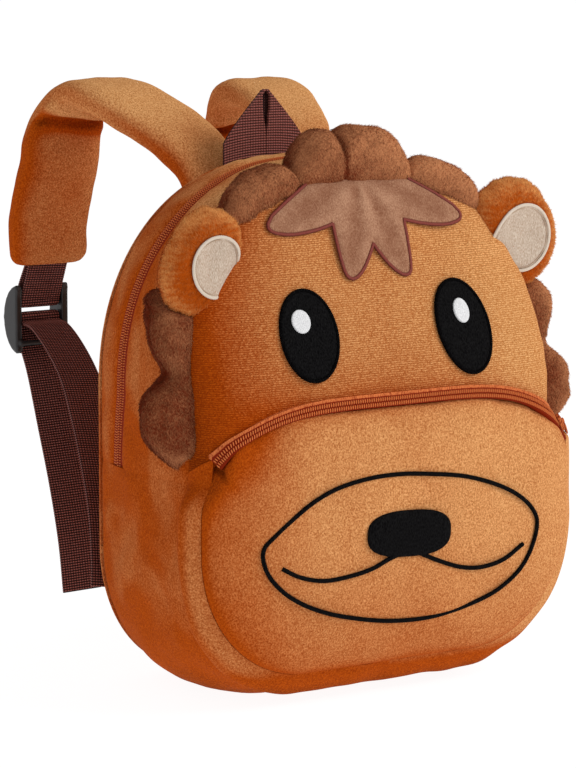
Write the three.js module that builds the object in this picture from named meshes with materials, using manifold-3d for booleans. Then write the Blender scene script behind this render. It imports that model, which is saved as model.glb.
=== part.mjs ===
// A toddler's plush lion backpack, in millimetres.
// +Z is up, the face looks along -Y, and the origin is the middle of the flat base.
import * as THREE from "three";
import { mergeVertices } from "three/addons/utils/BufferGeometryUtils.js";
import Module from "manifold-3d";

// Cloth, webbing and the gap that sewn pieces keep
const GAP = 0.3;
const WALL = 3;
const BACK_WALL = 5;
const WEB_WIDTH = 21;
const WEB_THICK = 1.4;
const STITCH_LIFT = 0.5;
const STITCH_THICK = 1.2;

// Seam outlines: half is the widest half width, base the flat half width at the floor
const REAR = { floor: 3, half: 91.5, base: 45, corner: 60, shoulder: 135, rise: 101, power: 2.15 };
const FRONT = { floor: 8, half: 97, base: 46, corner: 60, shoulder: 135, rise: 98, power: 2.6 };
const POCKET = { floor: 16, half: 101, base: 46, corner: 58, shoulder: 186, rise: 98, power: 2.6 };
const POCKET_OVERHANG = WALL + 0.4;
const POCKET_FOOT = {
  ...FRONT,
  floor: FRONT.floor - POCKET_OVERHANG,
  half: FRONT.half + POCKET_OVERHANG,
  corner: FRONT.corner + POCKET_OVERHANG,
};
const REAR_Y = 42;
const POCKET_SEAM_Y = -55;

// The front seam leans back towards the top
const SEAM_LEAN = [
  { z: 0, y: -42 },
  { z: 60, y: -42 },
  { z: 120, y: -38 },
  { z: 150, y: -35 },
  { z: 200, y: -28.5 },
  { z: 233, y: -24 },
];

// How far the face stands out of its seam, by height
const FACE_PROFILE = [
  { z: 100, reach: 28 },
  { z: 120, reach: 28.5 },
  { z: 140, reach: 27 },
  { z: 165, reach: 21.5 },
  { z: 190, reach: 15 },
  { z: 213, reach: 10.5 },
  { z: 233, reach: 8 },
];
const FACE_CROWN = 0.16;
const FACE_EDGE_POWER = 9;
const POCKET_WALL_REACH = 5;
const POCKET_WALL_DROP = 16;

// How far the pocket stands out of its own seam, by the drop below the zip
const POCKET_PROFILE = [
  { drop: 0, reach: 8.5 },
  { drop: 8, reach: 11.5 },
  { drop: 20, reach: 14 },
  { drop: 40, reach: 15.5 },
  { drop: 70, reach: 16 },
  { drop: 100, reach: 14.5 },
  { drop: 125, reach: 12 },
];
const POCKET_EDGE_POWER = 2.4;
const POCKET_BAND_BULGE = { base: 3.5, side: 7.5 };
const BACK_REACH = 9;
const BACK_EDGE_POWER = 6;
const GUSSET_BULGE = { base: 7.5, side: 4 };

// Main zip
const ZIP_END_Z = 103;
const ZIP_SIDE = 0.75;
const ZIP_TOP = 0.63;
const ZIP_HALF = 4.2;
const COIL_RISE = 1.2;

// Pocket zip, an arch that falls off towards its ends
const POCKET_ZIP_Z = 136;
const POCKET_ZIP_FALL = 27;
const POCKET_ZIP_POWER = 4.3;
const POCKET_ZIP_HALF = 3;
const POCKET_ZIP_END = 93.5;
const ZIP_CLEAR = 0.9;

// Ears: half ovals that stand on the front seam at an arc length from its top centre
const EARS = [
  { side: -1, arc: 94.5, y: -36.5, span: 24.5, rise: 23, sink: 1 },
  { side: 1, arc: 93.5, y: -31.5, span: 26, rise: 25, sink: 0.7 },
];
const EAR_LIFT = 2;
const EAR_POWER = 2.3;
const EAR_HALF_THICK = 10.5;
const EAR_DISH = 3.5;
const EAR_CLEAR = 0.5;
const EAR_INNER = { span: 0.62, rise: 0.62, lift: 0.7, thick: 1.6 };

// Mane sections: arc runs along the front seam from the top centre
const TUFT_SECTIONS = [
  { arc: 0, rise: 19, back: 17, wrap: 3.5 },
  { arc: 3, rise: 21, back: 19, wrap: 4 },
  { arc: 10, rise: 22, back: 20, wrap: 4 },
  { arc: 18, rise: 20, back: 19, wrap: 4 },
  { arc: 26, rise: 13, back: 15, wrap: 3.5 },
  { arc: 30.5, rise: 5, back: 8, wrap: 2 },
];
const ROLL_SECTIONS = [
  { arc: 32, rise: 5, back: 6, wrap: 2.5 },
  { arc: 37, rise: 11, back: 10, wrap: 4 },
  { arc: 46, rise: 14, back: 12, wrap: 4.5 },
  { arc: 54, rise: 14, back: 12, wrap: 4.5 },
  { arc: 61, rise: 10, back: 9, wrap: 3.5 },
  { arc: 64.5, rise: 5, back: 5, wrap: 2.5 },
];
const SIDE_SECTIONS = [
  { arc: 121, rise: 7, back: 7, wrap: 2 },
  { arc: 125, rise: 14, back: 12, wrap: 2.4 },
  { arc: 130, rise: 18, back: 14, wrap: 2.4 },
  { arc: 137, rise: 17.5, back: 14, wrap: 2 },
  { arc: 143, rise: 13, back: 11, wrap: 1 },
  { arc: 149, rise: 18, back: 13, wrap: 0.6 },
  { arc: 158, rise: 22, back: 15, wrap: 0.6 },
  { arc: 168, rise: 23, back: 15, wrap: 0.6 },
  { arc: 176, rise: 18, back: 13, wrap: 0.6 },
  { arc: 181, rise: 11, back: 8, wrap: 0.6 },
  { arc: 184.5, rise: 4, back: 4, wrap: 0.6 },
];

// Forelock: lower and upper edge by distance from the centre line
const FORELOCK_EDGE = [
  { x: 0, low: 202.4, high: 227.6 },
  { x: 4, low: 196.5, high: 227.6 },
  { x: 9.5, low: 190.4, high: 227.6 },
  { x: 14.8, low: 188, high: 227.6 },
  { x: 17.8, low: 190, high: 227.6 },
  { x: 19, low: 197, high: 227.6 },
  { x: 19.6, low: 212, high: 227.6 },
  { x: 28, low: 210, high: 227 },
  { x: 40.7, low: 208.5, high: 222 },
  { x: 49.7, low: 209.4, high: 216.8 },
  { x: 53, low: 211.3, high: 213.8 },
];

// Face embroidery
const EYES = [
  { x: -44, z: 165.6, halfWidth: 14.8, halfHeight: 19.9, tilt: -5.2 },
  { x: 40.4, z: 164.1, halfWidth: 14.8, halfHeight: 21.1, tilt: 6.2 },
];
const GLINTS = [
  { x: -47.4, z: 171.6, halfWidth: 4.7, halfHeight: 5, tilt: -5.2 },
  { x: 40.2, z: 170.7, halfWidth: 4.2, halfHeight: 5.4, tilt: 6.2 },
];
const NOSE = { x: 0, z: 75.5, halfWidth: 22.5, halfHeight: 11, power: 3 };
const MUZZLE = { z: 70, halfWidth: 76.5, rise: 31.5, drop: 33.8, topPower: 2.05, lowPower: 1.8 };
const MOUTH = [
  { x: 66.7, z: 65.4 },
  { x: 60, z: 61.6 },
  { x: 50, z: 58.5 },
  { x: 39.5, z: 57.1 },
  { x: 29.5, z: 57.9 },
  { x: 18, z: 60.4 },
  { x: 8, z: 62.3 },
  { x: 0, z: 62.6 },
];
const LINE_WIDTH = 2.6;

// Shoulder straps: centre line of the pad with its width and thickness
const PAD_SECTIONS = [
  { x: 21, y: 55.4, z: 205, width: 36, thick: 8 },
  { x: 21, y: 55.4, z: 222, width: 38, thick: 11 },
  { x: 25, y: 62, z: 239, width: 40, thick: 13 },
  { x: 33, y: 80, z: 253, width: 42, thick: 14 },
  { x: 42, y: 100, z: 263, width: 43, thick: 14 },
  { x: 49, y: 117, z: 263, width: 43, thick: 14 },
  { x: 55, y: 128, z: 250, width: 43, thick: 13 },
  { x: 58, y: 133, z: 232, width: 43, thick: 13 },
  { x: 60, y: 136, z: 212, width: 43, thick: 13 },
  { x: 60, y: 138, z: 192, width: 42, thick: 11 },
  { x: 60, y: 138.5, z: 185, width: 40, thick: 7 },
];
const PAD_ROOT_X = 21;
const BUCKLE = { x: 61, y: 147, z: 157 };
const BAR_RADIUS = 1.4;
const TOP_BAR = { y: 0, z: 8 };
const MIDDLE_BAR = { y: 0, z: -3 };
const LOW_BAR = { y: -4.5, z: -13 };
const CHEEK_THICK = 3.4;
const WEB_FOOT = { x: 80, y: 52, z: 41 };
const TAIL_END = { x: 58, y: 113, z: 27 };

// The right strap hangs nearer to the middle than the left one
const LEFT_STRAP = { side: -1, splay: 1 };
const RIGHT_STRAP = { side: 1, splay: 0.7 };

// Depth of the web by the part of its way down from the buckle
const LOAD_WEB = [
  { part: 0.88, y: 57 },
  { part: 0.7, y: 67 },
  { part: 0.45, y: 84 },
  { part: 0.35, y: 91.5 },
  { part: 0.22, y: 102 },
  { part: 0.1, y: 121 },
  { part: 0.04, y: 135 },
];
const TAIL_WEB = [
  { part: 0.1, y: 147.5 },
  { part: 0.2, y: 141 },
  { part: 0.4, y: 132 },
  { part: 0.62, y: 122.5 },
  { part: 0.82, y: 116 },
];

// Haul loop
const LOOP_HALF = 22.5;
const LOOP_LEG = 10;
const LOOP_APEX = 31;
const LOOP_SLIT = { from: 8, to: 27, width: 2.6 };

const RIGHT = 1;
const LEFT = -1;

// Number helpers
function smoothstep(from, to, at) {
  return THREE.MathUtils.smoothstep(at, from, to);
}

// Value of a table's column at a key, through its rows with a smooth curve
function along(table, key, column, at) {
  const last = table.length - 1;
  if (at <= table[0][key]) return table[0][column];
  if (at >= table[last][key]) return table[last][column];
  const i = table.findIndex((row) => row[key] >= at) - 1;
  const slope = (k) => {
    const a = table[Math.max(k - 1, 0)];
    const b = table[Math.min(k + 1, last)];
    return (b[column] - a[column]) / (b[key] - a[key]);
  };
  const span = table[i + 1][key] - table[i][key];
  const t = (at - table[i][key]) / span;
  const rise = table[i + 1][column] - table[i][column];
  const bend = (1 - t) * (slope(i) * span - rise) - t * (slope(i + 1) * span - rise);
  return table[i][column] + rise * t + t * (1 - t) * bend;
}

// Seam outlines in the X-Z plane
// Point of an outline's right half: station 0 is the base centre and 5 the top centre
function rim(shape, station) {
  const side = Math.floor(Math.min(station, 4.999));
  const t = station - side;
  const turn = (t * Math.PI) / 2;
  if (side === 0) return new THREE.Vector2(shape.base * t, shape.floor);
  if (side === 1) {
    const x = shape.base + (shape.half - shape.base) * Math.sin(turn);
    return new THREE.Vector2(x, shape.floor + shape.corner * (1 - Math.cos(turn)));
  }
  const knee = shape.floor + shape.corner;
  if (side === 2) return new THREE.Vector2(shape.half, knee + (ZIP_END_Z - knee) * t);
  if (side === 3) return new THREE.Vector2(shape.half, ZIP_END_Z + (shape.shoulder - ZIP_END_Z) * t);
  const across = Math.max(0, Math.cos(turn)) ** (2 / shape.power);
  const up = Math.sin(turn) ** (2 / shape.power);
  return new THREE.Vector2(shape.half * across, shape.shoulder + shape.rise * up);
}

// 0 at the middle of an outline and 1 on it
function gauge(shape, x, z) {
  const wide = Math.abs(x);
  if (z >= shape.shoulder) {
    const up = (z - shape.shoulder) / shape.rise;
    return ((wide / shape.half) ** shape.power + up ** shape.power) ** (1 / shape.power);
  }
  const knee = shape.floor + shape.corner;
  if (z >= knee) return wide / shape.half;
  const down = (knee - z) / shape.corner;
  if (wide <= shape.base * down) return down;
  const round = shape.half - shape.base;
  const a = (wide / round) ** 2 + down ** 2;
  const b = (shape.base * wide) / round ** 2;
  const c = (shape.base / round) ** 2 - 1;
  return a / (b + Math.sqrt(b * b - a * c));
}

function topZ(shape, x) {
  const across = Math.min(1, Math.abs(x) / shape.half);
  return shape.shoulder + shape.rise * (1 - across ** shape.power) ** (1 / shape.power);
}

function bottomZ(shape, x) {
  const over = Math.max(0, Math.abs(x) - shape.base) / (shape.half - shape.base);
  return shape.floor + shape.corner * (1 - Math.sqrt(Math.max(0, 1 - over * over)));
}

// 1 in the middle of a puffed panel, falling to 0 at its seam
function puff(shape, power, x, z) {
  const g = gauge(shape, x, z);
  return g > 0.99999 ? 0 : Math.sqrt(1 - g ** power);
}

// Surfaces of the bag
function seamY(z) {
  return along(SEAM_LEAN, "z", "y", z);
}

function zipZ(x) {
  return POCKET_ZIP_Z - POCKET_ZIP_FALL * (Math.abs(x) / POCKET.half) ** POCKET_ZIP_POWER;
}

function faceY(x, z) {
  const crown = 1 - FACE_CROWN * (x / FRONT.half) ** 2;
  const face = along(FACE_PROFILE, "z", "reach", z) * crown;
  const above = smoothstep(-POCKET_WALL_DROP, 0, z - zipZ(x));
  const reach = THREE.MathUtils.lerp(POCKET_WALL_REACH, face, above);
  return seamY(z) - GAP - reach * puff(FRONT, FACE_EDGE_POWER, x, z);
}

function pocketY(x, z) {
  const reach = along(POCKET_PROFILE, "drop", "reach", zipZ(x) - z);
  return POCKET_SEAM_Y - reach * puff(POCKET, POCKET_EDGE_POWER, x, z);
}

function backY(x, z) {
  return REAR_Y + GAP + BACK_REACH * puff(REAR, BACK_EDGE_POWER, x, z);
}

// Point of a strip between two outlines: v is 0 at the first outline and 1 at the second
function stripPoint(first, second, station, side, v, bulge) {
  const middle = (k) => first.at(k).lerp(second.at(k), v);
  const step = 0.01;
  const after = middle(Math.min(station + step, 5));
  const before = middle(Math.max(station - step, 0));
  const way = after.sub(before).normalize();
  const p = middle(station);
  const most = THREE.MathUtils.lerp(bulge.base, bulge.side, smoothstep(5, 45, p.z));
  const swell = most * 4 * v * (1 - v);
  p.x += way.z * swell;
  p.z = Math.max(0, p.z - way.x * swell);
  p.x *= side;
  return p;
}

const frontRim = { at: (k) => lift(rim(FRONT, k), seamY(rim(FRONT, k).y)) };
const rearRim = { at: (k) => lift(rim(REAR, k), REAR_Y) };
const pocketFootRim = { at: (k) => lift(rim(POCKET_FOOT, k), seamY(rim(FRONT, k).y)) };
const pocketRim = { at: (k) => lift(rim(POCKET, k), POCKET_SEAM_Y) };

function lift(point, y) {
  return new THREE.Vector3(point.x, y, point.y);
}

// Solids
function closedGeometry(points, triangles) {
  const side = new THREE.Vector3();
  let volume = 0;
  for (const [a, b, c] of triangles) volume += points[a].dot(side.crossVectors(points[b], points[c]));
  const faces = volume < 0 ? triangles.map(([a, b, c]) => [a, c, b]) : triangles;
  const geometry = new THREE.BufferGeometry().setFromPoints(points);
  geometry.setIndex(faces.flat());
  return geometry;
}

// Closed wall between two grids of points
function slab(outer, inner) {
  const rows = outer.length - 1;
  const columns = outer[0].length - 1;
  const half = (rows + 1) * (columns + 1);
  const at = (face, r, c) => face * half + r * (columns + 1) + c;
  const triangles = [];
  const quad = (a, b, c, d) => triangles.push([a, b, c], [a, c, d]);
  for (let r = 0; r < rows; r += 1) {
    for (let c = 0; c < columns; c += 1) {
      quad(at(0, r, c), at(0, r, c + 1), at(0, r + 1, c + 1), at(0, r + 1, c));
      quad(at(1, r, c), at(1, r + 1, c), at(1, r + 1, c + 1), at(1, r, c + 1));
    }
    quad(at(0, r, 0), at(0, r + 1, 0), at(1, r + 1, 0), at(1, r, 0));
    quad(at(0, r, columns), at(1, r, columns), at(1, r + 1, columns), at(0, r + 1, columns));
  }
  for (let c = 0; c < columns; c += 1) {
    quad(at(0, 0, c), at(1, 0, c), at(1, 0, c + 1), at(0, 0, c + 1));
    quad(at(0, rows, c), at(0, rows, c + 1), at(1, rows, c + 1), at(1, rows, c));
  }
  return closedGeometry([...outer.flat(), ...inner.flat()], triangles);
}

// Solid through closed loops of points, capped at both ends
function loft(sections) {
  const count = sections[0].length;
  const last = (sections.length - 1) * count;
  const points = sections.flat();
  const middle = (loop) => loop.reduce((sum, p) => sum.add(p), new THREE.Vector3()).divideScalar(count);
  const start = points.push(middle(sections[0])) - 1;
  const end = points.push(middle(sections.at(-1))) - 1;
  const triangles = [];
  for (let k = 0; k < count; k += 1) {
    const next = (k + 1) % count;
    for (let base = 0; base < last; base += count) {
      triangles.push([base + k, base + next, base + count + next]);
      triangles.push([base + k, base + count + next, base + count + k]);
    }
    triangles.push([next, k, start], [last + k, last + next, end]);
  }
  return closedGeometry(points, triangles);
}

// Solid disc of two faces that share a rim: place(face, reach, turn) gives each point
function disc(rings, spokes, place) {
  const points = [place(0, 0, 0), place(1, 0, 0)];
  for (const face of [0, 1]) {
    for (let r = 1; r <= rings; r += 1) {
      for (let s = 0; s < spokes; s += 1) points.push(place(face, r / rings, (s / spokes) * 2 * Math.PI));
    }
  }
  const at = (face, r, s) => 2 + (face * rings + r - 1) * spokes + (s % spokes);
  const triangles = [];
  const quad = (a, b, c, d) => triangles.push([a, b, c], [a, c, d]);
  for (let s = 0; s < spokes; s += 1) {
    triangles.push([0, at(0, 1, s), at(0, 1, s + 1)], [1, at(1, 1, s + 1), at(1, 1, s)]);
    for (let r = 1; r < rings; r += 1) {
      quad(at(0, r, s), at(0, r + 1, s), at(0, r + 1, s + 1), at(0, r, s + 1));
      quad(at(1, r, s), at(1, r, s + 1), at(1, r + 1, s + 1), at(1, r + 1, s));
    }
    quad(at(0, rings, s), at(1, rings, s), at(1, rings, s + 1), at(0, rings, s + 1));
  }
  return closedGeometry(points, triangles);
}

// Grid moved inwards by a thickness, along normals that flatten picks the part of
function inset(grid, thickness, inwards, flatten) {
  const rows = grid.length - 1;
  const columns = grid[0].length - 1;
  return grid.map((line, r) => line.map((p, c) => {
    const across = line[Math.min(c + 1, columns)].clone().sub(line[Math.max(c - 1, 0)]);
    const up = grid[Math.min(r + 1, rows)][c].clone().sub(grid[Math.max(r - 1, 0)][c]);
    const normal = across.cross(up);
    if (flatten(r, c)) normal.y = 0;
    normal.normalize();
    if (normal.dot(inwards(p)) < 0) normal.negate();
    return p.clone().addScaledVector(normal, thickness);
  }));
}

function grid(rows, columns, place) {
  return rows.map((row) => columns.map((column) => place(row, column)));
}

function steps(count, ease = (t) => t) {
  return Array.from({ length: count + 1 }, (_, i) => ease(i / count));
}

const slowStart = (t) => 1 - Math.cos((t * Math.PI) / 2);
const slowEnd = (t) => Math.sin((t * Math.PI) / 2);
const slowBoth = (t) => (1 - Math.cos(t * Math.PI)) / 2;

// Bag panels
const PANEL_COLUMNS = steps(18, (t) => Math.sin((t - 0.5) * Math.PI));
const toMiddle = (y) => (p) => new THREE.Vector3(0, y, 120).sub(p);

// seat(z) is the depth of the seam, which the inner face never passes
function panel({ rows, columns, heights, depth, seat, half, thickness, openTop }) {
  const outer = grid(rows, columns, (row, column) => {
    const x = half * column;
    const z = heights(x, row);
    return new THREE.Vector3(x, depth(x, z), z);
  });
  const lastRow = rows.length - 1;
  const lastColumn = columns.length - 1;
  const onSeam = (r, c) => r === 0 || c === 0 || c === lastColumn || (r === lastRow && !openTop);
  const inner = inset(outer, thickness, toMiddle(0), onSeam);
  for (const p of inner.flat()) p.y = p.y < 0 ? Math.min(p.y, seat(p.z)) : Math.max(p.y, seat(p.z));
  return slab(outer, inner);
}

function backPanel() {
  const heights = (x, t) => THREE.MathUtils.lerp(bottomZ(REAR, x), topZ(REAR, x), t);
  const columns = steps(14, (t) => Math.sin((t - 0.5) * Math.PI));
  const seat = () => REAR_Y + GAP;
  const rows = steps(10, slowBoth);
  return panel({ rows, columns, heights, depth: backY, seat, half: REAR.half, thickness: BACK_WALL });
}

// Rows below 1 lie behind the pocket, and rows from 1 to 2 are the face
function frontPanel() {
  const heights = (x, row) => {
    const edge = zipZ(x) - 1;
    if (row < 1) return THREE.MathUtils.lerp(bottomZ(FRONT, x), edge, row);
    return THREE.MathUtils.lerp(edge, topZ(FRONT, x), slowEnd(row - 1));
  };
  const rows = [0, 0.05, 0.45, 0.86, 0.93, ...steps(9, (t) => 1 + t)];
  const seat = (z) => seamY(z) - GAP;
  const columns = PANEL_COLUMNS;
  return panel({ rows, columns, heights, depth: faceY, seat, half: FRONT.half, thickness: WALL });
}

function pocketFront() {
  const heights = (x, t) => THREE.MathUtils.lerp(bottomZ(POCKET, x), zipZ(x) - POCKET_ZIP_HALF, t);
  const rows = steps(10, slowStart);
  const columns = PANEL_COLUMNS;
  const seat = () => POCKET_SEAM_Y;
  return panel({ rows, columns, heights, depth: pocketY, seat, half: POCKET.half, thickness: WALL, openTop: true });
}

// Strips round the bag
function stationRun(stations) {
  const left = stations.map((k) => ({ k, side: LEFT }));
  const right = stations.map((k) => ({ k, side: RIGHT })).reverse();
  const shared = stations.at(-1) === 0 || stations.at(-1) === 5;
  return [...left, ...(shared ? right.slice(1) : right)];
}

function strip(first, second, run, edges, bulge, thickness) {
  const place = ({ k, side }, edge) => stripPoint(first, second, k, side, edge(k), bulge);
  const outer = grid(run, edges, place);
  return slab(outer, inset(outer, thickness, toMiddle(0), () => true));
}

const SEAM_V = 0.004;
const LOWER_RUN = stationRun([2.996, 2.5, 2, 1.82, 1.64, 1.46, 1.28, 1.1, 1, 0]);
const UPPER_RUN = stationRun([3.006, 3.5, 4, 4.12, 4.25, 4.38, 4.5, 4.62, 4.74, 4.86, 5]);

function zipV(k) {
  return THREE.MathUtils.lerp(ZIP_SIDE, ZIP_TOP, smoothstep(3, 5, k));
}

// Edge of the zip's slot, a half width and a gap away from its line
function zipEdge(sign, half) {
  return (k) => zipV(k) + (sign * half) / frontRim.at(k).distanceTo(rearRim.at(k));
}

function between(from, to, count) {
  return steps(count).map((t) => (k) => THREE.MathUtils.lerp(from(k), to(k), t));
}

function gussetLower() {
  const edges = between(() => SEAM_V, () => 1 - SEAM_V, 6);
  return strip(frontRim, rearRim, LOWER_RUN, edges, GUSSET_BULGE, WALL);
}

function gussetFront() {
  const edges = between(() => SEAM_V, zipEdge(-1, ZIP_HALF + GAP), 4);
  return strip(frontRim, rearRim, UPPER_RUN, edges, GUSSET_BULGE, WALL);
}

function gussetRear() {
  const edges = between(zipEdge(1, ZIP_HALF + GAP), () => 1 - SEAM_V, 2);
  return strip(frontRim, rearRim, UPPER_RUN, edges, GUSSET_BULGE, WALL);
}

// A zip's tape with the coil raised along its middle
function mainZip() {
  const edges = between(zipEdge(-1, ZIP_HALF), zipEdge(1, ZIP_HALF), 4);
  const tape = grid(UPPER_RUN, edges, ({ k, side }, edge) => {
    return stripPoint(frontRim, rearRim, k, side, edge(k), GUSSET_BULGE);
  });
  const low = inset(tape, COIL_RISE, toMiddle(0), () => true);
  const outer = tape.map((line, r) => line.map((p, c) => (c === 0 || c === 4 ? low[r][c] : p)));
  return slab(outer, inset(tape, COIL_RISE + WEB_THICK, toMiddle(0), () => true));
}

function pocketBand() {
  const run = stationRun([3.15, 2.8, 2.3, 2, 1.82, 1.64, 1.46, 1.28, 1.1, 1, 0]);
  const edges = between(() => 0.03, () => 1 - 0.03, 5);
  return strip(pocketFootRim, pocketRim, run, edges, POCKET_BAND_BULGE, WALL);
}

// The zip bridges the face's lower edge and the pocket's upper edge
function pocketZip() {
  const rows = [0, 0.2, 0.5, 0.8, 1];
  const columns = steps(24, (t) => (2 * t - 1) * POCKET_ZIP_END);
  const place = (raise) => grid(rows, columns, (row, x) => {
    const low = new THREE.Vector3(x, pocketY(x, zipZ(x) - POCKET_ZIP_HALF), zipZ(x) - POCKET_ZIP_HALF + GAP);
    const high = new THREE.Vector3(x, faceY(x, zipZ(x) + POCKET_ZIP_HALF), zipZ(x) + POCKET_ZIP_HALF);
    const p = low.lerp(high, row);
    p.y -= raise(row) + ZIP_CLEAR;
    return p;
  });
  const tape = (row) => WEB_THICK * (0.5 + 0.5 * row);
  const coil = (row) => tape(row) + (row > 0 && row < 1 ? COIL_RISE : 0);
  return slab(place(coil), place(() => 0));
}

// Mane: stuffed rolls that straddle the front seam
const SEAM_RUN = new THREE.CatmullRomCurve3(
  steps(60).map((t) => frontRim.at(5 - 2.2 * t)).map((p) => new THREE.Vector3(p.x, 0, p.z)),
);

// Frame on the front seam at an arc length from the top centre, negative to the left
function seamFrame(arc) {
  const u = Math.abs(arc) / SEAM_RUN.getLength();
  const side = arc < 0 ? LEFT : RIGHT;
  const p = SEAM_RUN.getPointAt(u);
  const way = SEAM_RUN.getTangentAt(u);
  const along = new THREE.Vector3(way.x, 0, way.z * side);
  const out = new THREE.Vector3(-way.z * side, 0, way.x);
  return { x: p.x * side, z: p.z, y: seamY(p.z), along, out };
}

const MANE_CLEAR = 0.7;
const MANE_ROUND = 0.8;

// How far the gusset stands out of the front seam at a distance behind it
function gussetRise(frame, behind) {
  const topDrift = REAR.shoulder + REAR.rise - FRONT.shoulder - FRONT.rise;
  const drift = frame.out.z * topDrift + Math.abs(frame.out.x) * (REAR.half - FRONT.half);
  const v = behind / (REAR_Y - frame.y);
  return GUSSET_BULGE.side * 4 * v * (1 - v) + Math.max(0, drift) * v;
}

// How far the face's side falls in from the front seam at a distance before it
function faceFall(frame, before) {
  const left = 1 - (before / along(FACE_PROFILE, "z", "reach", frame.z)) ** 2;
  const g = left > 0 ? left ** (1 / FACE_EDGE_POWER) : 0;
  return (1 - g) * (frame.x * frame.out.x + (frame.z - FRONT.shoulder) * frame.out.z);
}

function maneSection({ arc, rise, back, wrap }) {
  const frame = seamFrame(arc);
  const at = (n, y) => new THREE.Vector3(frame.x + frame.out.x * n, y, frame.z + frame.out.z * n);
  const onGusset = (b) => ({ n: gussetRise(frame, b) + MANE_CLEAR, y: frame.y + b });
  const onFace = (w) => {
    const p = at(-w, 0);
    return { n: -w, y: faceY(p.x, p.z) - MANE_CLEAR };
  };
  const inner = [onGusset(back), onGusset(back / 2), onGusset(0.5), onFace(wrap / 3), onFace(wrap)];
  const a = inner[0];
  const b = inner.at(-1);
  const length = Math.hypot(b.n - a.n, b.y - a.y);
  const up = { n: (a.y - b.y) / length, y: (b.n - a.n) / length };
  const outer = steps(8).slice(1, -1).map((t) => {
    const turn = t * Math.PI;
    const run = (1 + Math.cos(turn)) / 2;
    const high = rise * Math.sin(turn) ** MANE_ROUND;
    return { n: b.n + (a.n - b.n) * (1 - run) + up.n * high, y: b.y + (a.y - b.y) * (1 - run) + up.y * high };
  });
  return [...inner, ...outer].map((p) => at(p.n, p.y));
}

function maneRun(rows, side) {
  return loft(rows.map((row) => maneSection({ ...row, arc: row.arc * side })));
}

function maneTuft() {
  const left = TUFT_SECTIONS.slice(1).reverse().map((row) => ({ ...row, arc: -row.arc }));
  return loft([...left, ...TUFT_SECTIONS].map(maneSection));
}

// Lowest point of an ear at a depth y, moved along the seam from its middle
function earSeat(row, along, y) {
  const frame = seamFrame(row.arc * row.side);
  const foot = seamFrame(row.arc * row.side + along);
  const drop = (foot.x - frame.x) * frame.out.x + (foot.z - frame.z) * frame.out.z;
  const behind = y - foot.y;
  const rise = behind > 0 ? gussetRise(foot, behind) : -Math.min(row.sink, faceFall(foot, -behind));
  return drop + rise + EAR_CLEAR;
}

function earHalfThick(reach) {
  return EAR_HALF_THICK * Math.sqrt(1 - 0.85 * Math.min(1, reach) ** 3);
}

function earFront(row, reach) {
  return row.y - earHalfThick(reach) + EAR_DISH * Math.max(0, 1 - (reach / 0.68) ** 2);
}

// Half oval from the seat to a rounded top, part of the ear's own size
function earGrid(row, size, columns, rows, depth) {
  const frame = seamFrame(row.arc * row.side);
  const acrossSteps = steps(columns, (t) => Math.sin((t - 0.5) * Math.PI));
  return grid(steps(rows, slowEnd), acrossSteps, (t, across) => {
    const along = row.span * size.span * across;
    const top = EAR_LIFT + row.rise * size.rise * (1 - Math.abs(across) ** EAR_POWER) ** (1 / EAR_POWER);
    const reachAt = (n) => {
      const up = Math.max(0, n - EAR_LIFT) / row.rise;
      return (Math.abs(size.span * across) ** EAR_POWER + up ** EAR_POWER) ** (1 / EAR_POWER);
    };
    const seat = earSeat(row, along, depth(reachAt(EAR_LIFT)));
    const n = THREE.MathUtils.lerp(seat, top, t);
    const place = new THREE.Vector3(frame.x, depth(reachAt(n)), frame.z);
    return place.addScaledVector(frame.out, n).addScaledVector(frame.along, along);
  });
}

function ear(row) {
  const whole = { span: 1, rise: 1 };
  const front = earGrid(row, whole, 14, 5, (reach) => earFront(row, reach));
  const back = earGrid(row, whole, 14, 5, (reach) => row.y + earHalfThick(reach));
  return slab(front, back);
}

function earInner(row) {
  const back = earGrid(row, EAR_INNER, 10, 3, (reach) => earFront(row, reach) - EAR_INNER.lift);
  const front = back.map((line) => line.map((p) => p.clone().setY(p.y - EAR_INNER.thick)));
  return slab(front, back);
}

// Patches and lines that lie on the face or the pocket
function patchAt(surface, x, z, raised) {
  return new THREE.Vector3(x, surface(x, z) - STITCH_LIFT - raised, z);
}

function ovalPatch(surface, oval, lift = 0) {
  const tilt = THREE.MathUtils.degToRad(oval.tilt ?? 0);
  const power = 2 / (oval.power ?? 2);
  return disc(2, 18, (face, reach, turn) => {
    const c = Math.cos(turn);
    const s = Math.sin(turn);
    const u = reach * oval.halfWidth * Math.sign(c) * Math.abs(c) ** power;
    const w = reach * oval.halfHeight * Math.sign(s) * Math.abs(s) ** power;
    const x = oval.x + u * Math.cos(tilt) - w * Math.sin(tilt);
    const z = oval.z + u * Math.sin(tilt) + w * Math.cos(tilt);
    return patchAt(surface, x, z, lift + (face === 0 ? STITCH_THICK : 0));
  });
}

function forelock() {
  const right = FORELOCK_EDGE;
  const left = right.slice(1).reverse().map((row) => ({ ...row, x: -row.x }));
  const columns = [...left, ...right];
  const place = (raised) => grid(steps(3), columns, (t, { x, low, high }) => {
    return patchAt(faceY, x, THREE.MathUtils.lerp(low, high, t), raised);
  });
  return slab(place(STITCH_THICK), place(0));
}

// Raised line of stitches along flat X-Z points
function lineSections(surface, points, closed) {
  const curve = new THREE.CatmullRomCurve3(points.map(({ x, z }) => new THREE.Vector3(x, 0, z)), closed);
  const count = Math.round(curve.getLength() / 7);
  return steps(count).map((t) => {
    const p = curve.getPointAt(t);
    const way = curve.getTangentAt(t);
    const side = { x: (-way.z * LINE_WIDTH) / 2, z: (way.x * LINE_WIDTH) / 2 };
    const corner = (s, raised) => patchAt(surface, p.x + side.x * s, p.z + side.z * s, raised);
    return [corner(-1, 0), corner(1, 0), corner(0.6, STITCH_THICK), corner(-0.6, STITCH_THICK)];
  });
}

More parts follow.
